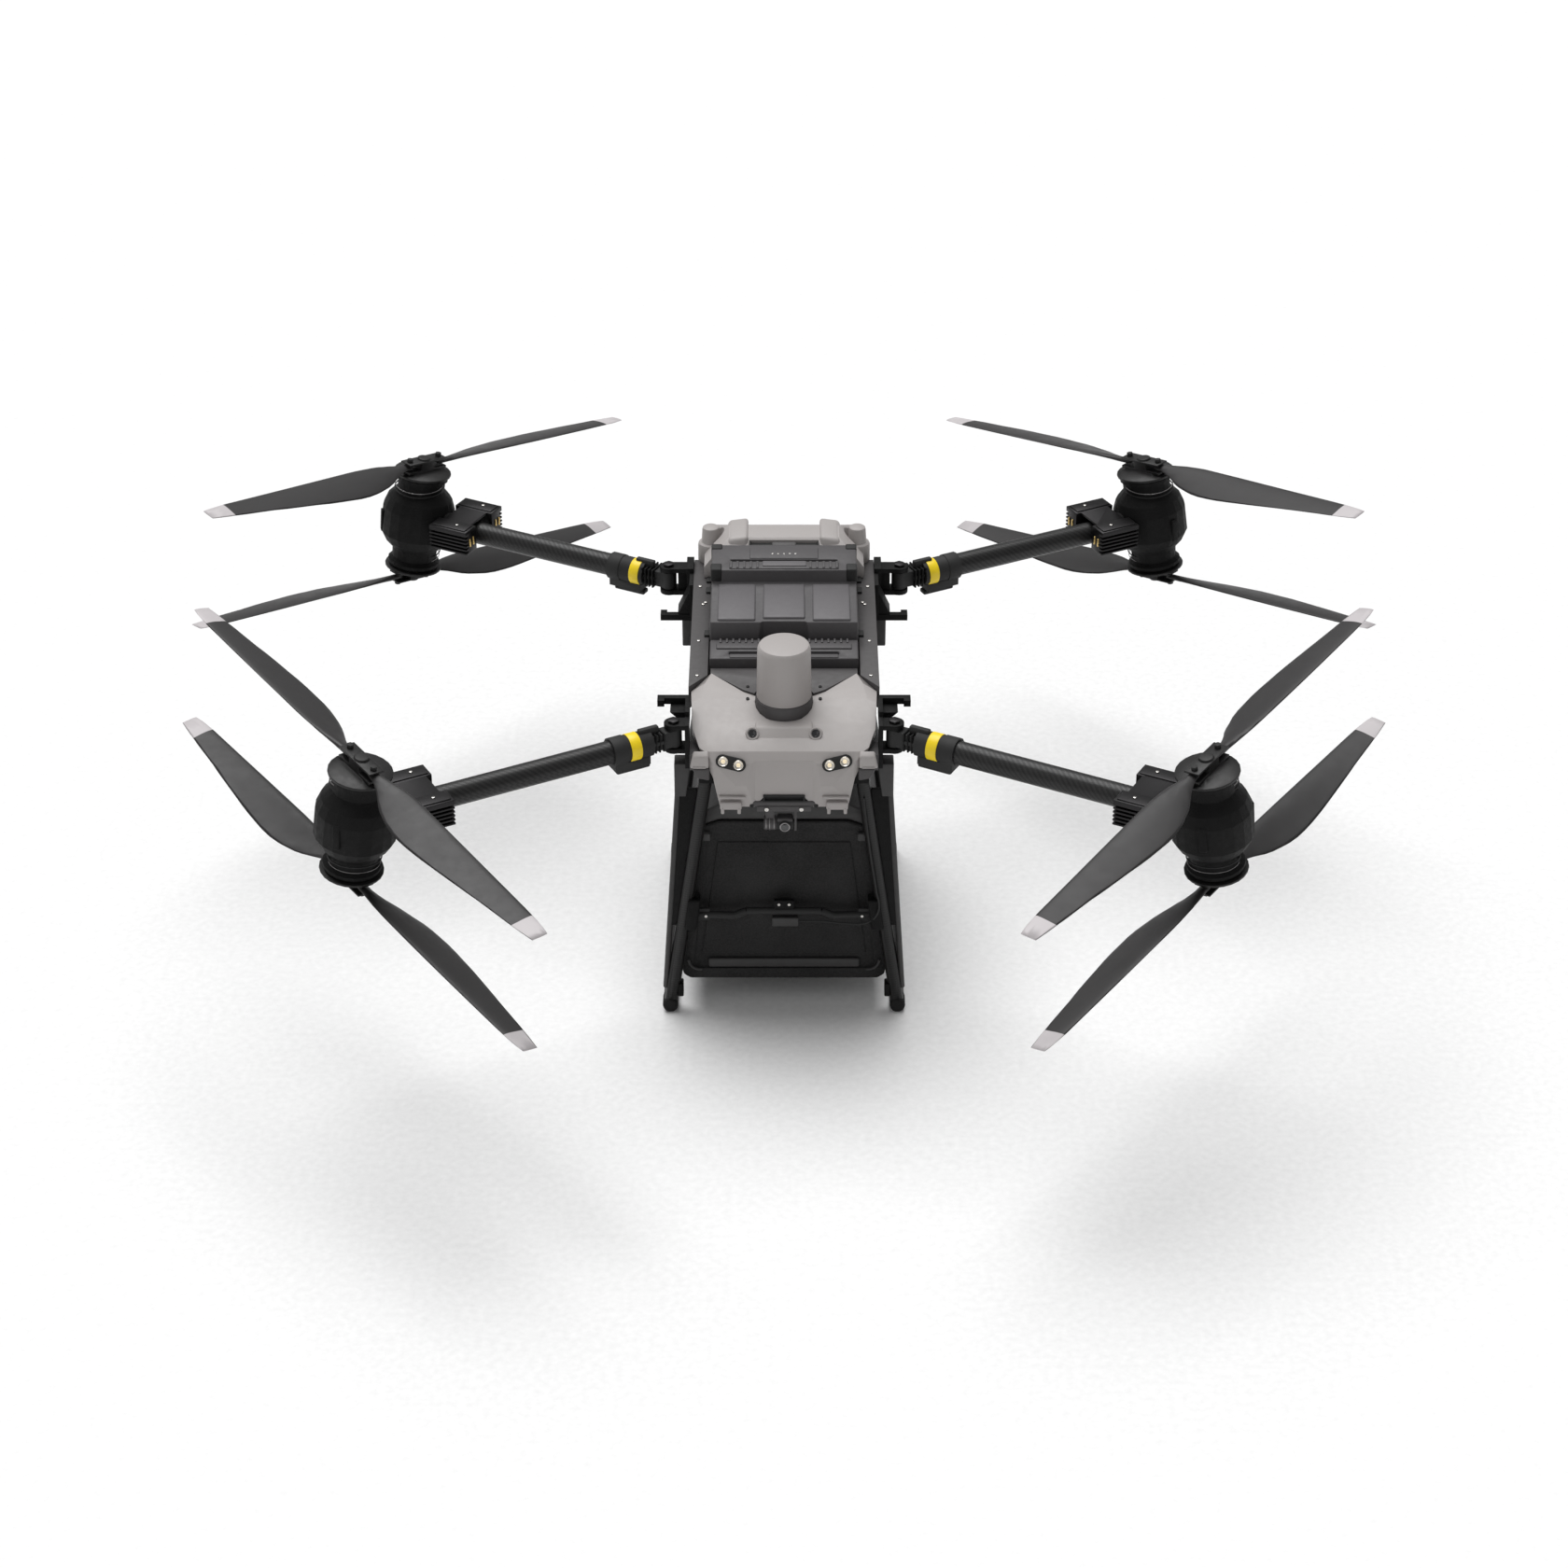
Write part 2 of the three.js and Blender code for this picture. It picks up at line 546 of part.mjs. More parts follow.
function arm(end, side) {
  const x = SIDES[side];
  const tag = `${end}_${side}`;
  const y = end === 'front' ? -1 : 1;
  const hinge = new THREE.Vector3(x * HINGE_AT[end].x, y * HINGE_AT[end].y, ARM_HEIGHT);
  const pod = new THREE.Vector3(x * POD_AT.x, y * POD_AT.y, ARM_HEIGHT);
  const length = pod.distanceTo(hinge);
  const roll = (end === 'front') === (side === 'left') ? 1 : -1;
  const frame = new THREE.Group();
  frame.name = `arm_frame_${tag}`;
  frame.position.copy(hinge);
  frame.rotation.z = Math.atan2(pod.y - hinge.y, pod.x - hinge.x);
  frame.add(armSocket(tag), armTube(tag, length), motorPod(tag, length, roll), speedControllers(tag, length));
  frame.updateMatrixWorld(true);
  for (const level of ['upper', 'lower']) {
    const sign = level === 'upper' ? 1 : -1;
    const spin = (end === 'front' ? 1 : -1) * x * -sign;
    const group = rotor(`${tag}_${level}`, spin, level);
    group.name = `rotor_frame_${tag}_${level}`;
    const axis = podAxis(roll).multiplyScalar(sign);
    group.position.set(length, 0, 0).addScaledVector(axis, DISC_AT);
    group.quaternion.setFromUnitVectors(new THREE.Vector3(0, 0, 1), axis);
    frame.add(group);
    group.updateMatrixWorld(true);
    const angle = THREE.MathUtils.degToRad(REST_ANGLE[end][level]);
    const direction = new THREE.Vector3(x * Math.cos(angle), Math.sin(angle), 0)
      .transformDirection(group.matrixWorld.clone().invert());
    group.rotateZ(Math.atan2(direction.y, direction.x));
  }
  return frame;
}

// ---------------------------------------------------------------- assembly
function drone() {
  const group = new THREE.Group();
  group.add(airframe(), noseShell(), noseDeck(), parachutePack(), rearCover());
  group.add(frontBattery(), rearBattery(), cargoCase(), caseLid());
  group.add(crossbar(), cameraBracket(), cameraHead());
  for (const [side, x] of Object.entries(SIDES)) {
    group.add(gnssAntenna(side, x), landingLeg(side, x));
    for (const end of ARM_ENDS) {
      group.add(armHinge(`${end}_${side}`, x, end), arm(end, side));
    }
  }
  group.updateMatrixWorld(true);
  const box = new THREE.Box3().setFromObject(group, true);
  group.position.set(0, -(box.min.y + box.max.y) / 2, -box.min.z);
  return group;
}

export default drone();
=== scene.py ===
"""Looks of a heavy-lift cargo drone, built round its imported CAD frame.

The frame is in metres, +Z up, with the nose towards -Y. Sub-assemblies hold their sizes in millimetres,
measured from the middle of the cargo case, and finishes hold theirs in metres.
"""

from __future__ import annotations

import json
import logging
import math
from dataclasses import dataclass
from enum import Enum
from typing import Callable, Iterator, Sequence

import bmesh
import bpy
from mathutils import Matrix, Vector

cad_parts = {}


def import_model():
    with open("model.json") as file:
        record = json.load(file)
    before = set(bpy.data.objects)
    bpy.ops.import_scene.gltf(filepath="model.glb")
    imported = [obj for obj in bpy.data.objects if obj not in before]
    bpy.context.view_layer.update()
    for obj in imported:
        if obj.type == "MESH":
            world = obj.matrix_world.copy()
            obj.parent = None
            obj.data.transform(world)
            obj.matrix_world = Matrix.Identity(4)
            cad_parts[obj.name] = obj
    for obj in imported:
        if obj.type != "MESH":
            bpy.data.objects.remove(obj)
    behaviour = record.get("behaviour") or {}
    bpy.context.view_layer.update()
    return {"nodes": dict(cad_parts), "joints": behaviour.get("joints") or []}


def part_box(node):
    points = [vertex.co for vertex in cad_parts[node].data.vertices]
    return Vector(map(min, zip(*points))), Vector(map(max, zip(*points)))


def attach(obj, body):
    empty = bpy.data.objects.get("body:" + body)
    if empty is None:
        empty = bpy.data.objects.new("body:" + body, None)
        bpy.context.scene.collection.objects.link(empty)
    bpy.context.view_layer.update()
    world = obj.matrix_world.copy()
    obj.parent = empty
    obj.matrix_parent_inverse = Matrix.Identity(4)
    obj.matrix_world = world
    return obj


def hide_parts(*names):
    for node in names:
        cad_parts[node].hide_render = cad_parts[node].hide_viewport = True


LOG = logging.getLogger("cargo_drone")
MM = 0.001
UP = Vector((0, 0, 1))
AHEAD = Vector((0, -1, 0))
ALONG = 0.95  # the cosine above which a face counts as looking along a direction
WALL_SLOPE = 0.25  # how far a sunk or raised face's wall leans in, for its depth
PointTest = Callable[[Vector], bool]
Span = tuple[float, float]
Triple = tuple[float, float, float]


class End(Enum):
    """The end of the airframe that an arm stands at."""

    FRONT = "front"
    REAR = "rear"


class Side(Enum):
    """The side of the drone; the value is the sign of X."""

    LEFT = -1
    RIGHT = 1

    @property
    def tag(self) -> str:
        """The side as it is written in node names."""
        return self.name.lower()


class Level(Enum):
    """The rotor above or below a motor pod; the value is the sign of its axis."""

    UPPER = 1
    LOWER = -1

    @property
    def tag(self) -> str:
        """The level as it is written in node names."""
        return self.name.lower()


# ------------------------------------------------------------------ workbench
def activate(thing: bpy.types.Object) -> None:
    """Leaves one object selected and active, in object mode."""
    if bpy.context.object and bpy.context.object.mode != "OBJECT":
        bpy.ops.object.mode_set(mode="OBJECT")
    bpy.ops.object.select_all(action="DESELECT")
    thing.select_set(True)
    bpy.context.view_layer.objects.active = thing


def clear_selection() -> None:
    """Deselects everything, so that an operator acts on new primitives alone."""
    bpy.ops.object.select_all(action="DESELECT")


def settle(name: str) -> bpy.types.Object:
    """Names the active primitive and moves its place into its mesh.

    Args:
        name: The new piece's name.

    Returns:
        The piece, at the origin, unturned and unscaled.
    """
    thing = bpy.context.object
    thing.name = name
    thing.data.name = name
    bpy.ops.object.transform_apply(location=True, rotation=True, scale=True)
    return thing


def add_block(name: str, low: Vector, high: Vector) -> bpy.types.Object:
    """Adds a cube primitive between two corners."""
    clear_selection()
    bpy.ops.mesh.primitive_cube_add(size=1, location=(low + high) / 2, scale=high - low)
    return settle(name)


def add_round(name: str, start: Vector, end: Vector, radius: float, end_radius: float | None = None,
              sides: int = 32) -> bpy.types.Object:
    """Adds a cylinder or cone primitive between two points.

    Args:
        name: The new piece's name.
        start: The middle of the first end.
        end: The middle of the second end.
        radius: The first end's radius.
        end_radius: The second end's radius, the same when not given.
        sides: Faces round the circumference.

    Returns:
        The piece.
    """
    clear_selection()
    along = end - start
    bpy.ops.mesh.primitive_cone_add(
        vertices=sides,
        radius1=radius,
        radius2=radius if end_radius is None else end_radius,
        depth=along.length,
        location=(start + end) / 2,
        rotation=along.to_track_quat("Z", "Y").to_euler(),
    )
    return settle(name)


def add_ring(name: str, centre: Vector, axis: Vector, radius: float, wire: float) -> bpy.types.Object:
    """Adds a torus primitive round an axis."""
    clear_selection()
    bpy.ops.mesh.primitive_torus_add(
        major_radius=radius,
        minor_radius=wire,
        major_segments=64,
        minor_segments=10,
        location=centre,
        rotation=axis.to_track_quat("Z", "Y").to_euler(),
    )
    return settle(name)


def add_lathe(name: str, profile: Sequence[Span], steps: int = 72) -> bpy.types.Object:
    """Spins a profile about Z, from a one-edge start that is extruded point by point.

    Args:
        name: The new piece's name.
        profile: Pairs of radius and height; it starts and ends on the axis for a closed piece.
        steps: Faces round the circumference.

    Returns:
        The piece, about the origin.
    """
    clear_selection()
    bpy.ops.mesh.primitive_plane_add(size=MM)
    thing = settle(name)
    bpy.ops.object.mode_set(mode="EDIT")
    bpy.ops.mesh.select_mode(type="VERT")
    bpy.ops.mesh.select_all(action="SELECT")
    bpy.ops.mesh.merge(type="CENTER")
    first = Vector((profile[0][0], 0, profile[0][1]))
    bpy.ops.transform.translate(value=first)
    for (radius, height), (next_radius, next_height) in zip(profile, profile[1:]):
        step = (next_radius - radius, 0, next_height - height)
        bpy.ops.mesh.extrude_region_move(TRANSFORM_OT_translate={"value": step})
    bpy.ops.mesh.select_all(action="SELECT")
    bpy.ops.mesh.spin(steps=steps, angle=2 * math.pi, center=(0, 0, 0), axis=(0, 0, 1))
    bpy.ops.mesh.select_all(action="SELECT")
    bpy.ops.mesh.remove_doubles(threshold=0.01 * MM)
    bpy.ops.mesh.normals_make_consistent(inside=False)
    bpy.ops.object.mode_set(mode="OBJECT")
    return thing


def apply_modifier(thing: bpy.types.Object, kind: str, **settings: object) -> None:
    """Adds a modifier with its settings and applies it."""
    activate(thing)
    modifier = thing.modifiers.new(kind.title(), kind)
    for key, value in settings.items():
        setattr(modifier, key, value)
    bpy.ops.object.modifier_apply(modifier=modifier.name)


def soften(thing: bpy.types.Object, width: float, segments: int = 2,
           angle: float = 30.0) -> bpy.types.Object:
    """Rounds the edges that turn by more than an angle in degrees."""
    apply_modifier(
        thing, "BEVEL", width=width, segments=segments, limit_method="ANGLE",
        angle_limit=math.radians(angle), miter_outer="MITER_ARC",
    )
    return thing


def carve(thing: bpy.types.Object, cutter: bpy.types.Object) -> None:
    """Cuts one piece with another, which is used up."""
    apply_modifier(thing, "BOOLEAN", operation="DIFFERENCE", solver="EXACT", object=cutter)
    bpy.data.objects.remove(cutter)


def pick(thing: bpy.types.Object, kind: str, test: Callable[[object], bool]) -> None:
    """Selects a mesh's vertices, edges or faces, and stays in edit mode.

    Args:
        thing: The piece to edit.
        kind: VERT, EDGE or FACE.
        test: Takes one of them, and says whether it is wanted.
    """
    activate(thing)
    bpy.ops.object.mode_set(mode="EDIT")
    bpy.ops.mesh.select_mode(type=kind)
    bpy.ops.mesh.select_all(action="DESELECT")
    shape = bmesh.from_edit_mesh(thing.data)
    for element in {"VERT": shape.verts, "EDGE": shape.edges, "FACE": shape.faces}[kind]:
        element.select_set(test(element))
    bmesh.update_edit_mesh(thing.data)


def inset(thing: bpy.types.Object, direction: Vector, thickness: float, depth: float) -> None:
    """Insets the faces that look along a direction as one region, and sinks or raises them."""
    aim = direction.normalized()
    pick(thing, "FACE", lambda face: face.normal.dot(aim) > ALONG)
    bpy.ops.mesh.inset(thickness=thickness, depth=0)
    bpy.ops.mesh.inset(thickness=abs(depth) * WALL_SLOPE, depth=depth)
    bpy.ops.object.mode_set(mode="OBJECT")


def shift(thing: bpy.types.Object, test: PointTest, offset: Vector) -> None:
    """Moves the vertices that a test picks by their place."""
    pick(thing, "VERT", lambda vertex: test(vertex.co))
    bpy.ops.transform.translate(value=offset)
    bpy.ops.object.mode_set(mode="OBJECT")


def crease(thing: bpy.types.Object, test: PointTest) -> None:
    """Keeps the edges whose two ends a test picks sharp under subdivision."""
    pick(thing, "EDGE", lambda edge: all(test(vertex.co) for vertex in edge.verts))
    bpy.ops.transform.edge_crease(value=1)
    bpy.ops.object.mode_set(mode="OBJECT")


def place(thing: bpy.types.Object, matrix: Matrix) -> bpy.types.Object:
    """Moves a piece by moving its mesh."""
    thing.data.transform(matrix)
    thing.data.update()
    return thing


def shell_of(node: str, name: str, width: float = 0.0, segments: int = 2,
             angle: float = 30.0) -> bpy.types.Object:
    """Makes an editable copy of a CAD node, with merged vertices and rounded edges.

    Args:
        node: The CAD node.
        name: The new piece's name.
        width: How far the edges are rounded; nothing is rounded at 0.
        segments: Steps across a rounded edge.
        angle: The turn in degrees above which an edge is rounded.

    Returns:
        The copy, which rides on nothing yet.
    """
    source = FRAME["nodes"][node]
    thing = bpy.data.objects.new(name, source.data.copy())
    thing.data.name = name
    thing.data.materials.clear()
    bpy.context.scene.collection.objects.link(thing)
    activate(thing)
    bpy.ops.object.mode_set(mode="EDIT")
    bpy.ops.mesh.select_all(action="SELECT")
    bpy.ops.mesh.remove_doubles(threshold=0.02 * MM)
    bpy.ops.mesh.dissolve_limited(angle_limit=math.radians(0.6))
    bpy.ops.mesh.normals_make_consistent(inside=False)
    bpy.ops.object.mode_set(mode="OBJECT")
    if width:
        soften(thing, width, segments, angle)
    return thing


# ------------------------------------------------------------------ node wiring
class Wiring:
    """Builds one material's node tree, with the shader and the object coordinates at hand."""

    def __init__(self, name: str) -> None:
        """Starts a material of that name."""
        self.material = bpy.data.materials.new(name)
        self.material.use_nodes = True
        self.tree = self.material.node_tree
        self.shader = self.tree.nodes["Principled BSDF"]
        self.place = self.tree.nodes.new("ShaderNodeTexCoord").outputs["Object"]

    def node(self, kind: str, inputs: dict[str | int, object] | None = None,
             **settings: object) -> bpy.types.Node:
        """Adds a node.

        Args:
            kind: The node type without its ShaderNode prefix.
            inputs: Values or sockets for its inputs, by name or number.
            **settings: Properties of the node itself.

        Returns:
            The node.
        """
        made = self.tree.nodes.new("ShaderNode" + kind)
        for key, value in settings.items():
            setattr(made, key, value)
        for key, value in (inputs or {}).items():
            self.feed(made.inputs[key], value)
        return made

    def feed(self, socket: bpy.types.NodeSocket, value: object) -> None:
        """Links a socket or sets its value."""
        if isinstance(value, bpy.types.NodeSocket):
            self.tree.links.new(value, socket)
        else:
            socket.default_value = value

    def math(self, operation: str, *values: object) -> bpy.types.NodeSocket:
        """Adds a Math node and returns its result."""
        return self.node("Math", dict(enumerate(values)), operation=operation).outputs[0]

    def noise(self, scale: float, detail: float = 3.0, roughness: float = 0.55) -> bpy.types.NodeSocket:
        """Adds noise over the object and returns its value."""
        inputs = {"Vector": self.place, "Scale": scale, "Detail": detail, "Roughness": roughness}
        return self.node("TexNoise", inputs).outputs["Fac"]

    def spread(self, value: object, low: float, high: float,
               edges: Span = (0.3, 0.7)) -> bpy.types.NodeSocket:
        """Maps a value between two edges onto low to high."""
        inputs = {"Value": value, "From Min": edges[0], "From Max": edges[1], "To Min": low, "To Max": high}
        return self.node("MapRange", inputs).outputs["Result"]

    def vector(self, operation: str, first: object, second: Sequence[float],
               result: str) -> bpy.types.NodeSocket:
        """Adds a VectorMath node and returns the result of that name."""
        return self.node("VectorMath", {0: first, 1: tuple(second)}, operation=operation).outputs[result]

    def mix(self, amount: object, first: object, second: object) -> bpy.types.NodeSocket:
        """Mixes two colours."""
        made = self.node("Mix", data_type="RGBA")
        self.feed(made.inputs["Factor"], amount)
        self.feed(made.inputs["A"], first)
        self.feed(made.inputs["B"], second)
        return made.outputs["Result"]

    def bump(self, height: object, depth: float, strength: float = 1.0) -> None:
        """Bumps the surface by a height that runs from 0 to 1, depth in metres."""
        inputs = {"Height": height, "Distance": depth, "Strength": strength}
        self.give("Normal", self.node("Bump", inputs).outputs["Normal"])

    def give(self, name: str, value: object) -> None:
        """Feeds one input of the shader."""
        self.feed(self.shader.inputs[name], value)

    def dress(self, colour: object, roughness: object) -> None:
        """Feeds the shader's colour and roughness."""
        self.give("Base Color", colour)
        self.give("Roughness", roughness)


def tone(colour: Sequence[float], factor: float = 1.0) -> tuple[float, float, float, float]:
    """A colour with alpha, lightened or darkened by a factor."""
    return (colour[0] * factor, colour[1] * factor, colour[2] * factor, 1.0)


# ------------------------------------------------------------------ finishes
@dataclass(frozen=True)
class Finish:
    """A surface finish. Its slot says what class of material it is."""

    name: str
    slot: str
    colour: Triple
    roughness: float

    def wire(self, wiring: Wiring) -> None:
        """Wires the finish's own detail; plain finishes have a faint mottle."""
        mottle = wiring.noise(60)
        wiring.dress(
            wiring.mix(mottle, tone(self.colour, 0.9), tone(self.colour, 1.1)),
            wiring.spread(mottle, self.roughness - 0.05, self.roughness + 0.05),
        )

    def material(self) -> bpy.types.Material:
        """The finish's material, made on first use."""
        known = bpy.data.materials.get(self.name)
        if known:
            return known
        wiring = Wiring(self.name)
        self.wire(wiring)
        return wiring.material


@dataclass(frozen=True)
class MouldedPlastic(Finish):
    """Moulded plastic with a spark-eroded grain, broad colour drift and darker high spots."""

    grain: float = 900.0
    depth: float = 0.00025
    drift: float = 0.06
    gloss: float = 0.5

    def wire(self, wiring: Wiring) -> None:
        """Wires grain, drift and a patchy roughness."""
        grain = wiring.noise(self.grain, 2.0)
        broad = wiring.noise(5.0, 4.0)
        fine = wiring.noise(70.0, 4.0)
        base = wiring.mix(broad, tone(self.colour, 1 - self.drift), tone(self.colour, 1 + self.drift))
        speck = wiring.mix(wiring.spread(grain, 0, 0.22), base, tone(self.colour, 0.72))
        wiring.dress(speck, wiring.spread(fine, self.roughness - 0.06, self.roughness + 0.07))
        wiring.bump(grain, self.depth)
        wiring.give("Specular IOR Level", self.gloss)


@dataclass(frozen=True)
class BeadFoam(Finish):
    """Expanded bead foam: closed beads a few millimetres across with darker seams."""

    bead: float = 230.0

    def wire(self, wiring: Wiring) -> None:
        """Wires the beads over a broad rub."""
        beads = wiring.node("TexVoronoi", {"Vector": wiring.place, "Scale": self.bead}).outputs["Distance"]
        rub = wiring.noise(9.0, 5.0)
        seam = wiring.spread(beads, 0.0, 1.0, (0.25, 0.75))
        base = wiring.mix(rub, tone(self.colour, 0.85), tone(self.colour, 1.25))
        wiring.dress(wiring.mix(seam, base, tone(self.colour, 0.45)), wiring.spread(rub, 0.72, 0.9))
        wiring.bump(wiring.math("SUBTRACT", 1.0, seam), 0.0006, 0.8)


@dataclass(frozen=True)
class CarbonWeave(Finish):
    """Twill carbon cloth wrapped on a tube, under a satin resin coat."""

    origin: Triple = (0.0, 0.0, 0.0)
    along: Triple = (1.0, 0.0, 0.0)
    radius: float = 0.028
    tow: float = 0.0035

    def wire(self, wiring: Wiring) -> None:
        """Wires the twill in the tube's own length and girth."""
        axis = Vector(self.along).normalized()
        side = axis.cross(UP if abs(axis.z) < 0.9 else -AHEAD).normalized()
        lift = side.cross(axis)
        offset = wiring.vector("SUBTRACT", wiring.place, self.origin, "Vector")
        reach = [wiring.vector("DOT_PRODUCT", offset, way, "Value") for way in (axis, side, lift)]
        girth = wiring.math("MULTIPLY", wiring.math("ARCTAN2", reach[2], reach[1]), self.radius)
        steps = [wiring.math("FLOOR", wiring.math("DIVIDE", value, self.tow)) for value in (reach[0], girth)]
        phase = wiring.math("FLOORED_MODULO", wiring.math("ADD", steps[0], steps[1]), 4.0)
        warp = wiring.math("LESS_THAN", phase, 1.5)
        wave = wiring.math("SINE", wiring.math("MULTIPLY", girth, math.pi / self.tow))
        ridge = wiring.math("ABSOLUTE", wave)
        drift = wiring.noise(30.0)
        dark = wiring.mix(drift, tone(self.colour, 0.6), tone(self.colour, 0.9))
        light = wiring.mix(drift, tone(self.colour, 1.5), tone(self.colour, 2.2))
        wiring.dress(wiring.mix(warp, dark, light), wiring.spread(warp, 0.48, 0.36, (0.0, 1.0)))
        wiring.bump(wiring.math("ADD", warp, wiring.math("MULTIPLY", ridge, 0.3)), 0.00015, 0.7)
        wiring.give("Specular IOR Level", 0.3)
        wiring.give("Coat Weight", 0.1)
        wiring.give("Coat Roughness", 0.3)


@dataclass(frozen=True)
class BladeSkin(Finish):
    """Satin charcoal blade with a pale painted tip and painted shade towards its root, measured from its
    rotor's axis.
    """

    hub: Triple = (0.0, 0.0, 0.0)
    tip_colour: Triple = (0.55, 0.52, 0.53)
    tip_start: float = 0.625
    tip_blur: float = 0.0008

    def wire(self, wiring: Wiring) -> None:
        """Wires the tip band, painted shade towards the root, a fibre streak and fine grain."""
        reach = wiring.vector("DISTANCE", wiring.place, self.hub, "Value")
        edges = (self.tip_start - self.tip_blur, self.tip_start + self.tip_blur)
        band = wiring.spread(reach, 0.0, 1.0, edges)
        streak = wiring.noise(24.0, 6.0, 0.7)
        grain = wiring.noise(1400.0, 1.0)
        # painted shade: the blade's colour darkens towards its root, near the hub and pod
        root = wiring.spread(reach, 0.75, 1.08, (0.1, 0.6))
        base = wiring.mix(streak, tone(self.colour, 0.9), tone(self.colour, 1.12))
        shaded = wiring.mix(root, tone(self.colour, 0.55), base)
        pale = wiring.mix(streak, tone(self.tip_colour, 0.94), tone(self.tip_colour, 1.06))
        rough = wiring.spread(streak, self.roughness - 0.06, self.roughness + 0.06)
        wiring.dress(wiring.mix(band, shaded, pale), rough)
        wiring.bump(grain, 0.00008, 0.6)
        wiring.give("Specular IOR Level", 0.35)


@dataclass(frozen=True)
class Metal(Finish):
    """Turned or brushed metal with fine tool marks."""

    def wire(self, wiring: Wiring) -> None:
        """Wires streaked roughness over a metallic base."""
        marks = wiring.noise(400.0, 5.0, 0.7)
        wiring.dress(
            wiring.mix(marks, tone(self.colour, 0.85), tone(self.colour, 1.12)),
            wiring.spread(marks, self.roughness - 0.08, self.roughness + 0.1),
        )
        wiring.bump(marks, 0.00005, 0.5)
        wiring.give("Metallic", 1.0)


@dataclass(frozen=True)
class Lens(Finish):
    """Polished optical glass over a dark barrel, or a lit lamp face."""

    glow: float = 0.0

    def wire(self, wiring: Wiring) -> None:
        """Wires clean glass gloss, and the lamp's light where it has one."""
        haze = wiring.noise(500.0)
        tint = wiring.mix(haze, tone(self.colour, 0.85), tone(self.colour, 1.1))
        wiring.dress(tint, wiring.spread(haze, 0.04, 0.1))
        wiring.give("Coat Weight", 1.0)
        wiring.give("Coat Roughness", 0.03)
        if self.glow:
            wiring.give("Emission Color", tone(self.colour))
            wiring.give("Emission Strength", self.glow)


SHELL = MouldedPlastic("warm_grey_shell", "shell", (0.40, 0.375, 0.365), 0.5)
DECK = MouldedPlastic("dark_grey_shell", "dark_shell", (0.062, 0.058, 0.059), 0.55)
BATTERY = MouldedPlastic("battery_casing", "battery", (0.118, 0.112, 0.118), 0.5, grain=1200.0, drift=0.04)
BATTERY_DARK = MouldedPlastic("battery_trim", "battery", (0.070, 0.066, 0.069), 0.55, grain=1200.0)
BLACK = MouldedPlastic("black_plastic", "black_plastic", (0.011, 0.0105, 0.0105), 0.45, gloss=0.3)
ROUGH_BLACK = MouldedPlastic(
    "coarse_black", "rough_black", (0.0055, 0.0055, 0.0055), 0.6, grain=420.0, depth=0.0009, gloss=0.16)
LEG_PANEL = MouldedPlastic("leg_panel", "dark_shell", (0.032, 0.031, 0.031), 0.55)
FOAM = BeadFoam("bead_foam", "foam", (0.0125, 0.012, 0.012), 0.85)
RUBBER = MouldedPlastic(
    "rubber_foot", "rough_black", (0.009, 0.009, 0.009), 0.75, grain=300.0, depth=0.0006, gloss=0.3)
ALLOY = Metal("dark_alloy", "alloy", (0.034, 0.033, 0.034), 0.42)
BRIGHT = Metal("bright_screw", "alloy", (0.75, 0.73, 0.70), 0.3)
SATIN = Metal("satin_ring", "alloy", (0.30, 0.29, 0.29), 0.35)
GOLD = Metal("contact_gold", "alloy", (0.75, 0.55, 0.22), 0.35)
YELLOW = MouldedPlastic("yellow_band", "black_plastic", (0.95, 0.70, 0.008), 0.4, grain=600.0, depth=0.0001)
GLASS = Lens("black_lens", "black_plastic", (0.006, 0.006, 0.008), 0.05)
LAMP = Lens("warm_lamp", "black_plastic", (0.95, 0.80, 0.55), 0.1, glow=0.35)
ROTOR_BLACK = MouldedPlastic(
    "hub_black", "alloy", (0.013, 0.0125, 0.0125), 0.42, grain=700.0, depth=0.0002, gloss=0.3)


def dress(thing: bpy.types.Object, body: str, finish: Finish, replaces: Sequence[str] = (),
          smooth: float = 35.0) -> bpy.types.Object:
    """Gives a new piece its material, its body and the CAD nodes that it stands for.

    Args:
        thing: The finished mesh.
        body: The CAD body that it rides on.
        finish: Its surface finish.
        replaces: The CAD nodes that are hidden for it.
        smooth: Edges that turn by less than this many degrees are shaded smooth.

    Returns:
        The piece.
    """
    activate(thing)
    bpy.ops.object.shade_smooth_by_angle(angle=math.radians(smooth))
    thing.data.materials.clear()
    thing.data.materials.append(finish.material())
    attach(thing, body)
    if replaces:
        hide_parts(*replaces)
    LOG.info("%s rides on %s", thing.name, body)
    return thing


@dataclass(frozen=True)
class Datum:
    """Turns plan sizes in millimetres, measured from the middle of the cargo case, into the frame."""

    centre_y: float

    def at(self, x: float, y: float, z: float) -> Vector:
        """The point in metres."""
        return Vector((x * MM, self.centre_y + y * MM, z * MM))

    def block(self, sign: int, xs: Span, ys: Span, zs: Span) -> tuple[Vector, Vector]:
        """The two corners of a block whose X is given for the right side, on the side of a sign."""
        (left, right), (near, far) = sorted((sign * xs[0], sign * xs[1])), sorted(ys)
        return self.at(left, near, zs[0]), self.at(right, far, zs[1])


def screw(name: str, point: Vector, axis: Vector, radius: float, body: str,
          finish: Finish = BRIGHT) -> bpy.types.Object:
    """Adds a domed screw head with a hex socket.

    Args:
        name: The piece's name.
        point: The middle of its seat.
        axis: Which way its head stands.
        radius: The head's radius.
        body: The CAD body that it rides on.
        finish: Its surface finish.

    Returns:
        The piece.
    """
    up = axis.normalized()
    head = add_round(name, point - up * radius * 0.3, point + up * radius * 0.7, radius, sides=18)
    soften(head, radius * 0.25, 2)
    carve(head, add_round("socket", point + up * radius * 0.3, point + up * radius, radius * 0.45, sides=6))
    return dress(head, body, finish)


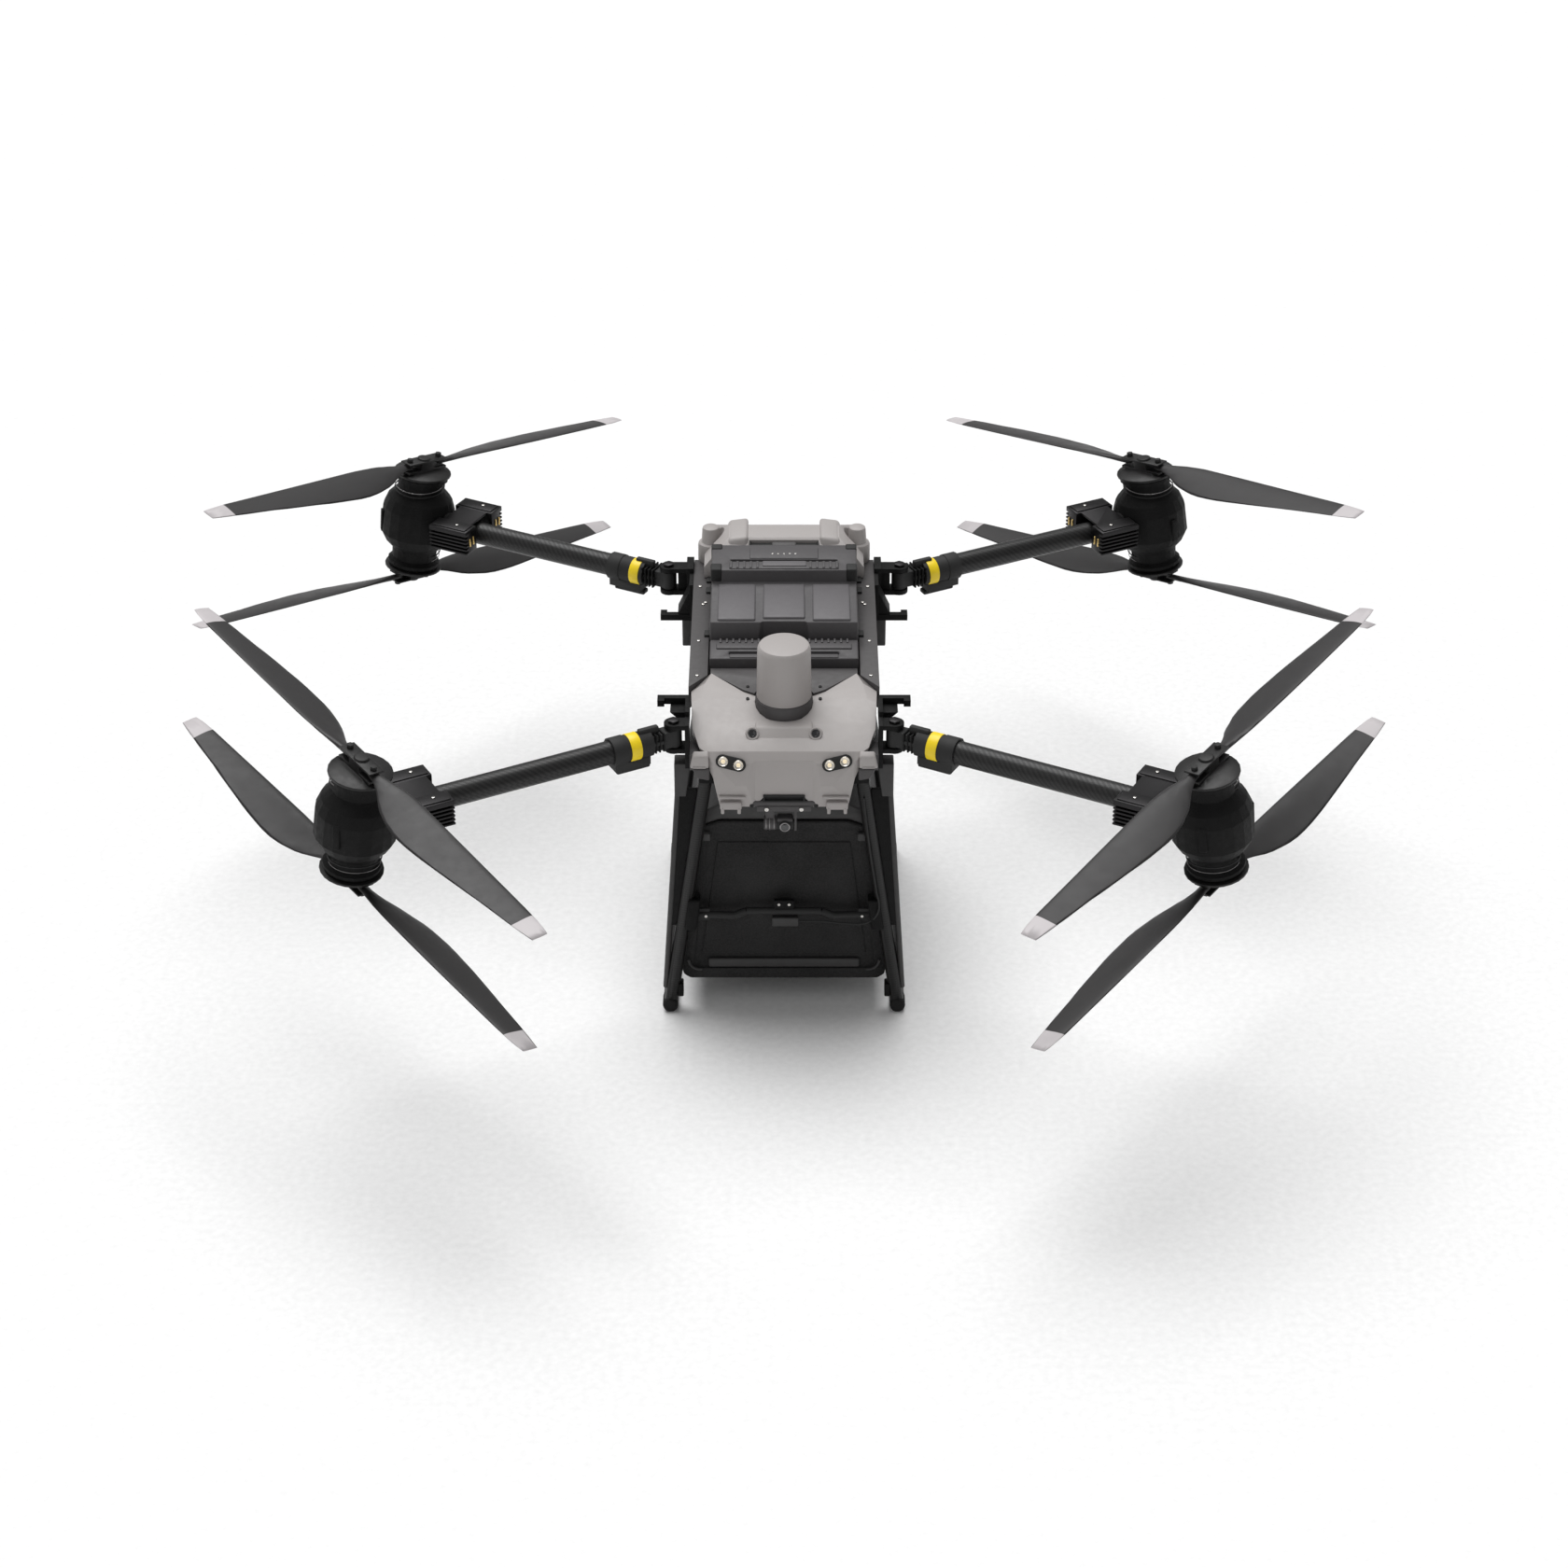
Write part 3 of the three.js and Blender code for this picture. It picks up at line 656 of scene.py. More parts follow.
def plate(name: str, low: Vector, high: Vector, edge: float, body: str, finish: Finish) -> bpy.types.Object:
    """Adds a rounded plate or boss between two corners."""
    thing = soften(add_block(name, low, high), edge, 3)
    return dress(thing, body, finish)


def both_sides() -> Iterator[tuple[Side, int]]:
    """Each side with the sign of its X."""
    for side in Side:
        yield side, side.value


# ------------------------------------------------------------------ nose
@dataclass
class Nose:
    """The nose cowl with its cameras, headlights, ears, deck and the parachute canister."""

    datum: Datum
    canister_y: float = -250.0
    eye: Triple = (72.3, -350.3, 758.5)
    lamp_centre: Triple = (121.5, -411.5, 717.0)
    shoulder_height: float = 787.0
    shoulder_reach: float = 188.0
    shoulder_lean: float = 18.0
    body: str = "airframe"

    def build(self) -> None:
        """Builds every piece of the nose."""
        cowl = shell_of("nose_shell", "nose_cowl")
        height, reach = self.shoulder_height * MM, self.shoulder_reach * MM
        for sign in (-1, 1):
            lean = Vector((-sign * self.shoulder_lean * MM, 0, 0))
            shift(cowl, lambda co: co.z > height and co.x * sign > reach, lean)
        dress(soften(cowl, 7 * MM, 3, 9), self.body, SHELL, ["nose_shell"], 50)
        deck = shell_of("nose_deck", "nose_deck_plate", 1.5 * MM, 2)
        dress(deck, self.body, DECK, ["nose_deck"])
        self.canister()
        self.brow()
        for side, sign in both_sides():
            self.stereo_eye(side, sign)
            self.headlight(side, sign)
            self.ear(side, sign)
            self.lower_tab(side, sign)
            self.deck_screws(side, sign)
        self.mouth()

    def canister(self) -> None:
        """The parachute canister: pale drum on a dark base ring."""
        to_place = Matrix.Translation(self.datum.at(0, self.canister_y, 0))
        drum = [(0, 803), (62.5, 803), (63.6, 806), (61.4, 926), (60.2, 932), (56.5, 937), (50, 939),
                (0, 939.4)]
        base = [(0, 765), (66.4, 765), (66.4, 799), (65.6, 802), (63.4, 804), (62, 804), (0, 804)]
        for name, profile, finish in (("canister_drum", drum, SHELL), ("canister_base", base, DECK)):
            thing = place(add_lathe(name, [(r * MM, z * MM) for r, z in profile], 96), to_place)
            replaces = ["parachute_pack"] if name == "canister_drum" else []
            dress(thing, self.body, finish, replaces, 30)

    def brow(self) -> None:
        """The raised block between the two stereo cameras."""
        at = self.datum.at
        block = add_block("nose_brow", at(-66, -377, 738), at(66, -300, 772))
        shift(block, lambda co: co.z > at(0, 0, 760).z and co.y < at(0, -340, 0).y, Vector((0, 36 * MM, 0)))
        dress(soften(block, 5 * MM, 3, 15), self.body, SHELL)

    def stereo_eye(self, side: Side, sign: int) -> None:
        """One stereo camera: boss, ring and lens."""
        x, y, z = self.eye
        point = self.datum.at(sign * x, y, z)
        axis = Vector((0, -0.78, 0.62))
        seat, rim = point - axis * 18 * MM, point + axis * 8.5 * MM
        boss = add_round(f"eye_boss_{side.tag}", seat, rim, 20 * MM, 14.5 * MM, 40)
        inset(boss, axis, 3.2 * MM, -2.5 * MM)
        dress(soften(boss, 1 * MM, 2), self.body, SHELL)
        back, face = point - axis * 2 * MM, point + axis * 8 * MM
        lens = add_round(f"eye_lens_{side.tag}", back, face, 9.4 * MM, sides=40)
        inset(lens, axis, 2.6 * MM, -1.5 * MM)
        dress(soften(lens, 0.6 * MM, 2), self.body, GLASS)

    def headlight(self, side: Side, sign: int) -> None:
        """One capsule headlight with two warm lamps."""
        x, y, z = self.lamp_centre
        along = Vector((sign * 37.0, 4.0, 8.0)).normalized()
        out = Vector((0, -0.92, 0.39))
        out = (out - along * out.dot(along)).normalized()
        matrix = Matrix((along, out.cross(along), out)).transposed().to_4x4()
        matrix.translation = self.datum.at(sign * x, y, z)
        low, high = Vector((-35, -15, -8)) * MM, Vector((35, 15, 3.4)) * MM
        bezel = add_block(f"headlight_bezel_{side.tag}", low, high)
        pick(bezel, "EDGE", lambda edge: abs(edge.verts[0].co.z - edge.verts[1].co.z) > 1 * MM)
        bpy.ops.mesh.bevel(offset=14.9 * MM, segments=10, affect="EDGES")
        bpy.ops.object.mode_set(mode="OBJECT")
        dress(place(soften(bezel, 0.8 * MM, 2), matrix), self.body, BLACK)
        for number, offset in enumerate((-18, 18)):
            self.lamp(f"{side.tag}_{number}", matrix @ Matrix.Translation(Vector((offset, 0, 4.2)) * MM))

    def lamp(self, tag: str, matrix: Matrix) -> None:
        """One lamp: a bright reflector cup and its lens."""
        cup = [(0, -1), (10.6, -1), (11.2, 1.6), (10.4, 2.2), (8.8, 0.4), (6, -0.4), (0, -0.5)]
        glass = [(0, -0.6), (5.6, -0.6), (5.0, 1.4), (3.4, 2.4), (0, 2.8)]
        for name, profile, finish in (("lamp_cup", cup, BRIGHT), ("lamp_glass", glass, LAMP)):
            thing = add_lathe(f"{name}_{tag}", [(r * MM, z * MM) for r, z in profile], 32)
            dress(place(thing, matrix), self.body, finish)

    def ear(self, side: Side, sign: int) -> None:
        """The cap over the front cross beam's end, with a ridge across it."""
        at = self.datum.at
        low, high = self.datum.block(sign, (172, 215), (-412, -398.2), (702, 742))
        cap = add_block(f"beam_cap_{side.tag}", low, high)
        shift(cap, lambda co: co.z > at(0, 0, 730).z and co.y < at(0, -405, 0).y, Vector((0, 0, -9 * MM)))
        shift(cap, lambda co: co.z > at(0, 0, 720).z and abs(co.x) > 200 * MM, Vector((-sign * 7 * MM, 0, 0)))
        dress(soften(cap, 4 * MM, 4), self.body, SHELL)
        low, high = self.datum.block(sign, (170, 211), (-411, -398.2), (668, 701))
        lower = add_block(f"beam_cap_lower_{side.tag}", low, high)
        tuck = Vector((-sign * 12 * MM, 0, 6 * MM))
        shift(lower, lambda co: co.z < at(0, 0, 680).z and abs(co.x) > 200 * MM, tuck)
        dress(soften(lower, 5 * MM, 3), self.body, DECK)
        low, high = self.datum.block(sign, (178, 208), (-414, -410), (703, 707))
        plate(f"beam_cap_ridge_{side.tag}", low, high, 1.5 * MM, self.body, SHELL)

    def lower_tab(self, side: Side, sign: int) -> None:
        """The step and the two-pronged tab under the headlight."""
        low, high = self.datum.block(sign, (88, 150), (-421, -404), (626, 633))
        plate(f"cowl_step_{side.tag}", low, high, 3 * MM, self.body, SHELL)
        low, high = self.datum.block(sign, (97, 147), (-423, -404), (598, 618))
        plate(f"cowl_tab_{side.tag}", low, high, 4 * MM, self.body, SHELL)
        for number, x in enumerate((99, 137)):
            low, high = self.datum.block(sign, (x, x + 8), (-423, -408), (587, 606))
            plate(f"cowl_prong_{side.tag}_{number}", low, high, 2.5 * MM, self.body, SHELL)

    def deck_screws(self, side: Side, sign: int) -> None:
        """The screws in the deck and cowl beside the canister, and on the chin."""
        at = self.datum.at
        slope = Vector((0, -0.25, 0.97))
        screw(f"deck_screw_{side.tag}", at(sign * 84, -198, 797), UP, 4 * MM, self.body, BLACK)
        screw(f"cowl_screw_{side.tag}", at(sign * 84, -242.4, 790), slope, 4 * MM, self.body, BLACK)
        screw(f"chin_screw_{side.tag}", at(sign * 40, -412, 594.5), AHEAD, 5 * MM, self.body)
        screw(f"chin_pin_{side.tag}", at(sign * 74, -409, 603), AHEAD, 5 * MM, self.body, BLACK)

    def mouth(self) -> None:
        """The dark air slot and the chin bar over the camera."""
        at = self.datum.at
        slot = add_block("air_slot", at(-48, -412, 613), at(48, -396, 631))
        inset(slot, AHEAD, 3 * MM, -8 * MM)
        dress(soften(slot, 1 * MM, 2), self.body, BLACK)
        bar = soften(add_block("chin_bar", at(-78, -411, 599), at(78, -398, 615)), 5 * MM, 3)
        dress(bar, self.body, DECK)


# ------------------------------------------------------------------ airframe and batteries
@dataclass
class Airframe:
    """The rails, beams, rear cover and antennas."""

    datum: Datum
    rail_top: float = 800.0
    body: str = "airframe"

    def build(self) -> None:
        """Builds the airframe's looks."""
        dress(shell_of("airframe", "rails_and_trays", 2 * MM, 2), self.body, DECK, ["airframe"])
        cover = shell_of("rear_cover", "rear_cover_shell", 7 * MM, 3, 12)
        dress(cover, self.body, SHELL, ["rear_cover"], 50)
        for side, sign in both_sides():
            self.antenna(side, sign)
            self.hump(side, sign)
            self.rail_fittings(side, sign)
        at = self.datum.at
        well = add_block("cover_recess", at(-86, 346, 850), at(86, 386, 885))
        inset(well, UP, 4 * MM, -6 * MM)
        dress(soften(well, 1.5 * MM, 2), self.body, BLACK)
        plate("cover_latch", at(-30, 352, 879), at(30, 372, 888), 4 * MM, self.body, DECK)

    def antenna(self, side: Side, sign: int) -> None:
        """One satellite antenna: a stepped, rounded mast on its foot."""
        profile = [(0, 801), (32, 801), (31.6, 842), (30.4, 847), (27.5, 849.5), (23.6, 850), (22.8, 852),
                   (20.8, 884), (19.6, 888), (16.5, 890), (0, 890.4)]
        mast = add_lathe(f"antenna_{side.tag}", [(r * MM, z * MM) for r, z in profile], 64)
        place(mast, Matrix.Translation(self.datum.at(sign * 181, 450, 0)))
        dress(mast, self.body, SHELL, [f"gnss_antenna_{side.tag}"])

    def hump(self, side: Side, sign: int) -> None:
        """The raised shoulder of the rear cover."""
        low, high = self.datum.block(sign, (88, 150), (350, 484), (840, 899))
        hump = add_block(f"cover_hump_{side.tag}", low, high)
        middle = self.datum.at(0, 400, 870)
        lean = Vector((-sign * 14 * MM, 0, -6 * MM))
        shift(hump, lambda co: co.z > middle.z and abs(co.x) > 120 * MM, lean)
        shift(hump, lambda co: co.z > middle.z and co.y < middle.y, Vector((0, 26 * MM, 0)))
        dress(soften(hump, 9 * MM, 4, 15), self.body, SHELL, smooth=50)

    def rail_fittings(self, side: Side, sign: int) -> None:
        """Screws and clamp blocks along one rail."""
        for number, (x, y) in enumerate(((205, 300), (190, 216), (196, 206), (203, 20), (203, -150))):
            seat = self.datum.at(sign * x, y, self.rail_top)
            screw(f"rail_screw_{side.tag}_{number}", seat, UP, 4.2 * MM, self.body)
        for number, y in enumerate((318, 262, 40)):
            low, high = self.datum.block(sign, (176, 190), (y, y + 26), (786, 806))
            plate(f"rail_clamp_{side.tag}_{number}", low, high, 2 * MM, self.body, BLACK)


@dataclass
class Batteries:
    """The two lift-out batteries with their handles, panels and charge lamps."""

    datum: Datum

    def build(self) -> None:
        """Builds both batteries."""
        self.rear()
        self.front()

    def rear(self) -> None:
        """The rear battery: three roof panels before a handle block."""
        at = self.datum.at
        body = "battery_rear"
        case = shell_of("battery_rear", "rear_battery_case", 5 * MM, 3)
        dress(case, body, BATTERY_DARK, ["battery_rear"])
        panels = {"left": (-158, -68, 14), "middle": (-50, 50, 24), "right": (68, 158, 14)}
        for tag, (x0, x1, y0) in panels.items():
            panel = add_block(f"roof_panel_{tag}", at(x0, y0, 850), at(x1, 196, 863))
            shift(panel, lambda co: co.z < at(0, 0, 855).z, Vector((0, 0, -4 * MM)))
            dress(soften(panel, 4.5 * MM, 3), body, BATTERY)
        plate("handle_bar", at(-132, 212, 886), at(132, 249, 896), 3 * MM, body, BATTERY_DARK)
        plate("handle_label", at(-52, 222, 892), at(54, 247, 898.5), 2 * MM, body, BATTERY)
        plate("charge_panel", at(-84, 268, 888), at(84, 326, 895), 3 * MM, body, BATTERY_DARK)
        for number in range(5):
            point = at(-28 + number * 14, 291, 894.6)
            dot = add_round(f"charge_lamp_{number}", point, point + UP * 1.4 * MM, 2.4 * MM, sides=16)
            dress(soften(dot, 0.5 * MM, 2), body, BRIGHT)
        for number in range(17):
            x = -128 + number * 16
            if abs(x) > 56:
                low, high = at(x - 3, 214, 893), at(x + 3, 247, 898)
                plate(f"handle_rib_{number}", low, high, 1 * MM, body, BATTERY_DARK)
        for side, sign in both_sides():
            low, high = self.datum.block(sign, (150, 177), (205, 240), (862, 896))
            plate(f"corner_cap_{side.tag}", low, high, 4 * MM, body, BLACK)
            low, high = self.datum.block(sign, (150, 177), (318, 344), (862, 896))
            plate(f"corner_cap_rear_{side.tag}", low, high, 4 * MM, body, BLACK)
            low, high = self.datum.block(sign, (160, 176.5), (16, 200), (800, 846))
            plate(f"side_cheek_{side.tag}", low, high, 5 * MM, body, BATTERY_DARK)

    def front(self) -> None:
        """The front battery: a lower block with a grip and cooling ribs."""
        at = self.datum.at
        body = "battery_front"
        case = shell_of("battery_front", "front_battery_case", 4 * MM, 3)
        dress(case, body, BATTERY_DARK, ["battery_front"])
        plate("grip_bar", at(-128, -99, 812), at(128, -82, 822), 2.5 * MM, body, BATTERY_DARK)
        for side, sign in both_sides():
            low, high = self.datum.block(sign, (60, 160), (-56, -30), (814, 823))
            plate(f"grip_panel_{side.tag}", low, high, 3 * MM, body, BATTERY_DARK)
        for number in range(21):
            x = -150 + number * 15
            low, high = at(x - 2.5, -27, 812), at(x + 2.5, -8, 823)
            plate(f"cooling_rib_{number}", low, high, 1 * MM, body, BATTERY_DARK)


# ------------------------------------------------------------------ case and landing gear
@dataclass
class Cargo:
    """The foam cargo case with its lid."""

    datum: Datum
    body: str = "airframe"

    def build(self) -> None:
        """Builds the case, its ends, its strips and its brackets."""
        case = shell_of("cargo_case", "foam_case", 5 * MM, 3, 15)
        at = self.datum.at
        for way, tag in ((-1, "front"), (1, "rear")):
            self.end_frame(case, way, tag)
        dress(case, self.body, FOAM, ["cargo_case"])
        dress(shell_of("case_lid", "foam_lid", 7 * MM, 3, 15), self.body, LEG_PANEL, ["case_lid"])
        for way, tag in ((-1, "front"), (1, "rear")):
            ys = sorted((way * 322, way * 331.5))
            low, high = at(-180, ys[0], 104), at(180, ys[1], 128)
            plate(f"case_strip_{tag}", low, high, 4 * MM, self.body, LEG_PANEL)
            for side, sign in both_sides():
                low, high = self.datum.block(sign, (172, 204), (way * 318, way * 340), (462, 484))
                plate(f"case_bracket_{tag}_{side.tag}", low, high, 4 * MM, self.body, LEG_PANEL)
                self.pull(f"{tag}_{side.tag}", sign, way)

    def tapered(self, name: str, way: int, halves: Span, depths: Span,
                heights: Span, edge: float) -> bpy.types.Object:
        """Adds a rounded block at one end of the case, narrower at its top as the case is.

        Args:
            name: The new piece's name.
            way: The sign of Y of that end.
            halves: Half its width at the bottom and at the top.
            depths: Its nearest and furthest Y, both positive.
            heights: Its bottom and top Z.
            edge: How far its edges are rounded.

        Returns:
            The piece.
        """
        at = self.datum.at
        ys = sorted(way * depth for depth in depths)
        thing = add_block(name, at(-halves[0], ys[0], heights[0]), at(halves[0], ys[1], heights[1]))
        middle = at(0, 0, sum(heights) / 2).z
        for sign in (-1, 1):
            offset = Vector((sign * (halves[1] - halves[0]) * MM, 0, 0))
            shift(thing, lambda co: co.z > middle and co.x * sign > 0, offset)
        return soften(thing, edge * MM, 4)

    def end_frame(self, case: bpy.types.Object, way: int, tag: str) -> None:
        """Sinks a panel inside the rim of one end of the case and sets a raised pad in it."""
        carve(case, self.tapered(f"end_cutter_{tag}", way, (218, 178), (322, 352), (100, 482), 7))
        pad = self.tapered(f"case_pad_{tag}", way, (196, 156), (316, 324.5), (140, 452), 3)
        dress(pad, self.body, FOAM)

    def pull(self, tag: str, sign: int, way: int) -> None:
        """The small curved pull at a lower corner."""
        at = self.datum.at
        points = [(228, 128), (222, 112), (210, 103), (196, 101)]
        route = [at(sign * x, way * 336, z) for x, z in points]
        dress(bent_rod(f"case_pull_{tag}", route, 3 * MM), self.body, LEG_PANEL)


def bent_rod(name: str, route: Sequence[Vector], radius: float) -> bpy.types.Object:
    """Sweeps a round rod along a smooth route.

    Args:
        name: The new piece's name.
        route: Points that the rod passes through.
        radius: The rod's radius.

    Returns:
        The rod as a mesh.
    """
    clear_selection()
    bpy.ops.curve.primitive_bezier_curve_add()
    thing = bpy.context.object
    thing.name = name
    spline = thing.data.splines[0]
    spline.bezier_points.add(len(route) - 2)
    for knot, point in zip(spline.bezier_points, route):
        knot.co = point - thing.location
        knot.handle_left_type = knot.handle_right_type = "AUTO"
    thing.data.dimensions = "3D"
    thing.data.bevel_depth = radius
    thing.data.bevel_resolution = 3
    thing.data.use_fill_caps = True
    bpy.ops.object.convert(target="MESH")
    return settle(name)


@dataclass
class LandingGear:
    """The skid legs with their outer struts and feet, and the bar between the front legs."""

    datum: Datum
    leg_y: float = 352.0
    foot_x: float = 272.0
    web_middle: float = 220.0
    web_waist: float = 400.0
    body: str = "airframe"

    def build(self) -> None:
        """Builds both legs and the crossbar."""
        at = self.datum.at
        for side, sign in both_sides():
            weave = CarbonWeave(f"leg_weave_{side.tag}", "carbon", (0.0050, 0.0048, 0.0048), 0.4,
                                tuple(at(sign * 175, 0, 689)), (sign * 0.14, 0, -0.99), 0.017, 0.0016)
            leg = shell_of(f"landing_leg_{side.tag}", f"leg_frame_{side.tag}", 1.2 * MM, 2, 50)
            dress(leg, self.body, weave, [f"landing_leg_{side.tag}"], 50)
            for way, end in ((-1, "front"), (1, "rear")):
                self.leg_fittings(f"{end}_{side.tag}", sign, way)
        self.crossbar()

    def leg_fittings(self, tag: str, sign: int, way: int) -> None:
        """The top panel, foot, foot brace and bracket of one leg, and the outer strut of a front leg."""
        at = self.datum.at
        y = way * self.leg_y
        if way < 0:
            self.outer_strut(tag, sign, y)
        low, high = self.datum.block(sign, (214, 252), (y - 10 * way, y + 34 * way), (612, 700))
        panel = add_block(f"leg_panel_{tag}", low, high)
        slope = Vector((sign * 12 * MM, 0, 0))
        shift(panel, lambda co: co.z < at(0, 0, 650).z and abs(co.x) < 230 * MM, slope)
        dress(soften(panel, 3 * MM, 3), self.body, LEG_PANEL)
        heel, toe = (at(sign * self.foot_x, y + step * way, 19) for step in (-30, 20))
        foot = add_round(f"rubber_foot_{tag}", heel, toe, 18.5 * MM)
        dress(soften(foot, 8 * MM, 4), self.body, RUBBER)
        low, high = self.datum.block(sign, (240, 254), (y - 14, y + 14), (42, 78))
        plate(f"foot_brace_{tag}", low, high, 3 * MM, self.body, ROUGH_BLACK)
        low, high = self.datum.block(sign, (158, 196), (y - 24, y + 24), (640, 689))
        plate(f"leg_bracket_{tag}", low, high, 4 * MM, self.body, ROUGH_BLACK)

    def outer_strut(self, tag: str, sign: int, y: float) -> None:
        """The strut outside a front leg, and the web between the two."""
        at = self.datum.at
        top, foot = at(sign * 240, y, 690), at(sign * 282, y, 62)
        strut = add_round(f"outer_strut_{tag}", top, foot, 7 * MM, sides=20)
        dress(soften(strut, 2 * MM, 2), self.body, LEG_PANEL)
        low, high = self.datum.block(sign, (192, 247), (y - 5, y + 5), (240, 615))
        web = add_block(f"leg_web_{tag}", low, high)
        waist, middle = self.web_waist * MM, self.web_middle * MM
        shift(web, lambda co: co.z < waist and abs(co.x) > middle, Vector((sign * 24 * MM, 0, 0)))
        shift(web, lambda co: co.z < waist and abs(co.x) < middle, Vector((sign * 46 * MM, 0, 0)))
        dress(soften(web, 2 * MM, 2), self.body, ROUGH_BLACK)

    def crossbar(self) -> None:
        """The bent bar between the front legs with its clamps, screws and held lead."""
        at = self.datum.at
        bar = shell_of("leg_crossbar", "crossbar_tube", 0.6 * MM, 2, 50)
        dress(bar, self.body, BLACK, ["leg_crossbar"], 60)
        for side, sign in both_sides():
            for number, (x, z) in enumerate(((218, 306), (184, 272), (226, 244))):
                screw(f"bar_screw_{side.tag}_{number}", at(sign * x, -366, z), AHEAD, 3.4 * MM, self.body)
            screw(f"tag_screw_{side.tag}", at(sign * 12, -359, 300), AHEAD, 3.4 * MM, self.body)
            low, high = self.datum.block(sign, (206, 236), (-372, -334), (234, 318))
            clamp = add_block(f"leg_clamp_{side.tag}", low, high)
            shift(clamp, lambda co: co.z > at(0, 0, 276).z, Vector((-sign * 10 * MM, 0, 0)))
            dress(soften(clamp, 6 * MM, 3), self.body, ROUGH_BLACK)
        plate("bar_tag", at(-24, -359, 286), at(24, -346, 310), 3 * MM, self.body, ROUGH_BLACK)
        plate("bar_box", at(-28, -360, 238), at(34, -344, 262), 3 * MM, self.body, LEG_PANEL)
        route = [(30, -354, 250), (90, -356, 251), (150, -358, 246), (196, -366, 254),
                 (222, -374, 290), (216, -372, 350), (200, -372, 460), (184, -371, 600)]
        dress(bent_rod("held_lead", [at(*point) for point in route], 2.4 * MM), self.body, BLACK)


@dataclass
class NoseCamera:
    """The tilting camera under the nose."""

    datum: Datum
    pivot: Triple = (2.0, -400.0, 552.0)

    def build(self) -> None:
        """Builds the bracket, the tilt motor's rings and the camera's lens."""
        x, y, z = self.pivot
        at = self.datum.at
        bracket = shell_of("camera_bracket", "camera_bracket_body", 1.2 * MM, 2, 40)
        dress(bracket, "airframe", DECK, ["camera_bracket"], 40)
        barrel = shell_of("camera_head", "camera_barrel", 1 * MM, 2, 40)
        dress(barrel, "camera", BLACK, ["camera_head"], 40)
        right = Vector((1, 0, 0))
        for number, offset in enumerate((-43, -35, -25)):
            ring = add_ring(f"motor_ring_{number}", at(x + offset, y, z), right, 17 * MM, 1.3 * MM)
            dress(ring, "airframe", SATIN)
        front = at(x, y - 22, z)
        dress(add_ring("lens_ring", front, AHEAD, 10.6 * MM, 1.5 * MM), "camera", SATIN)
        glass = [(0, -2), (9.4, -2), (9.4, 0.4), (6, 1.8), (0, 2.4)]
        lens = add_lathe("camera_lens", [(r * MM, h * MM) for r, h in glass], 40)
        turn = Matrix.Translation(front) @ AHEAD.to_track_quat("Z", "Y").to_matrix().to_4x4()
        dress(place(lens, turn), "camera", GLASS)
        plate("camera_hood", at(x - 18, y - 14, z + 8), at(x + 18, y + 14, z + 17), 3 * MM, "camera", DECK)


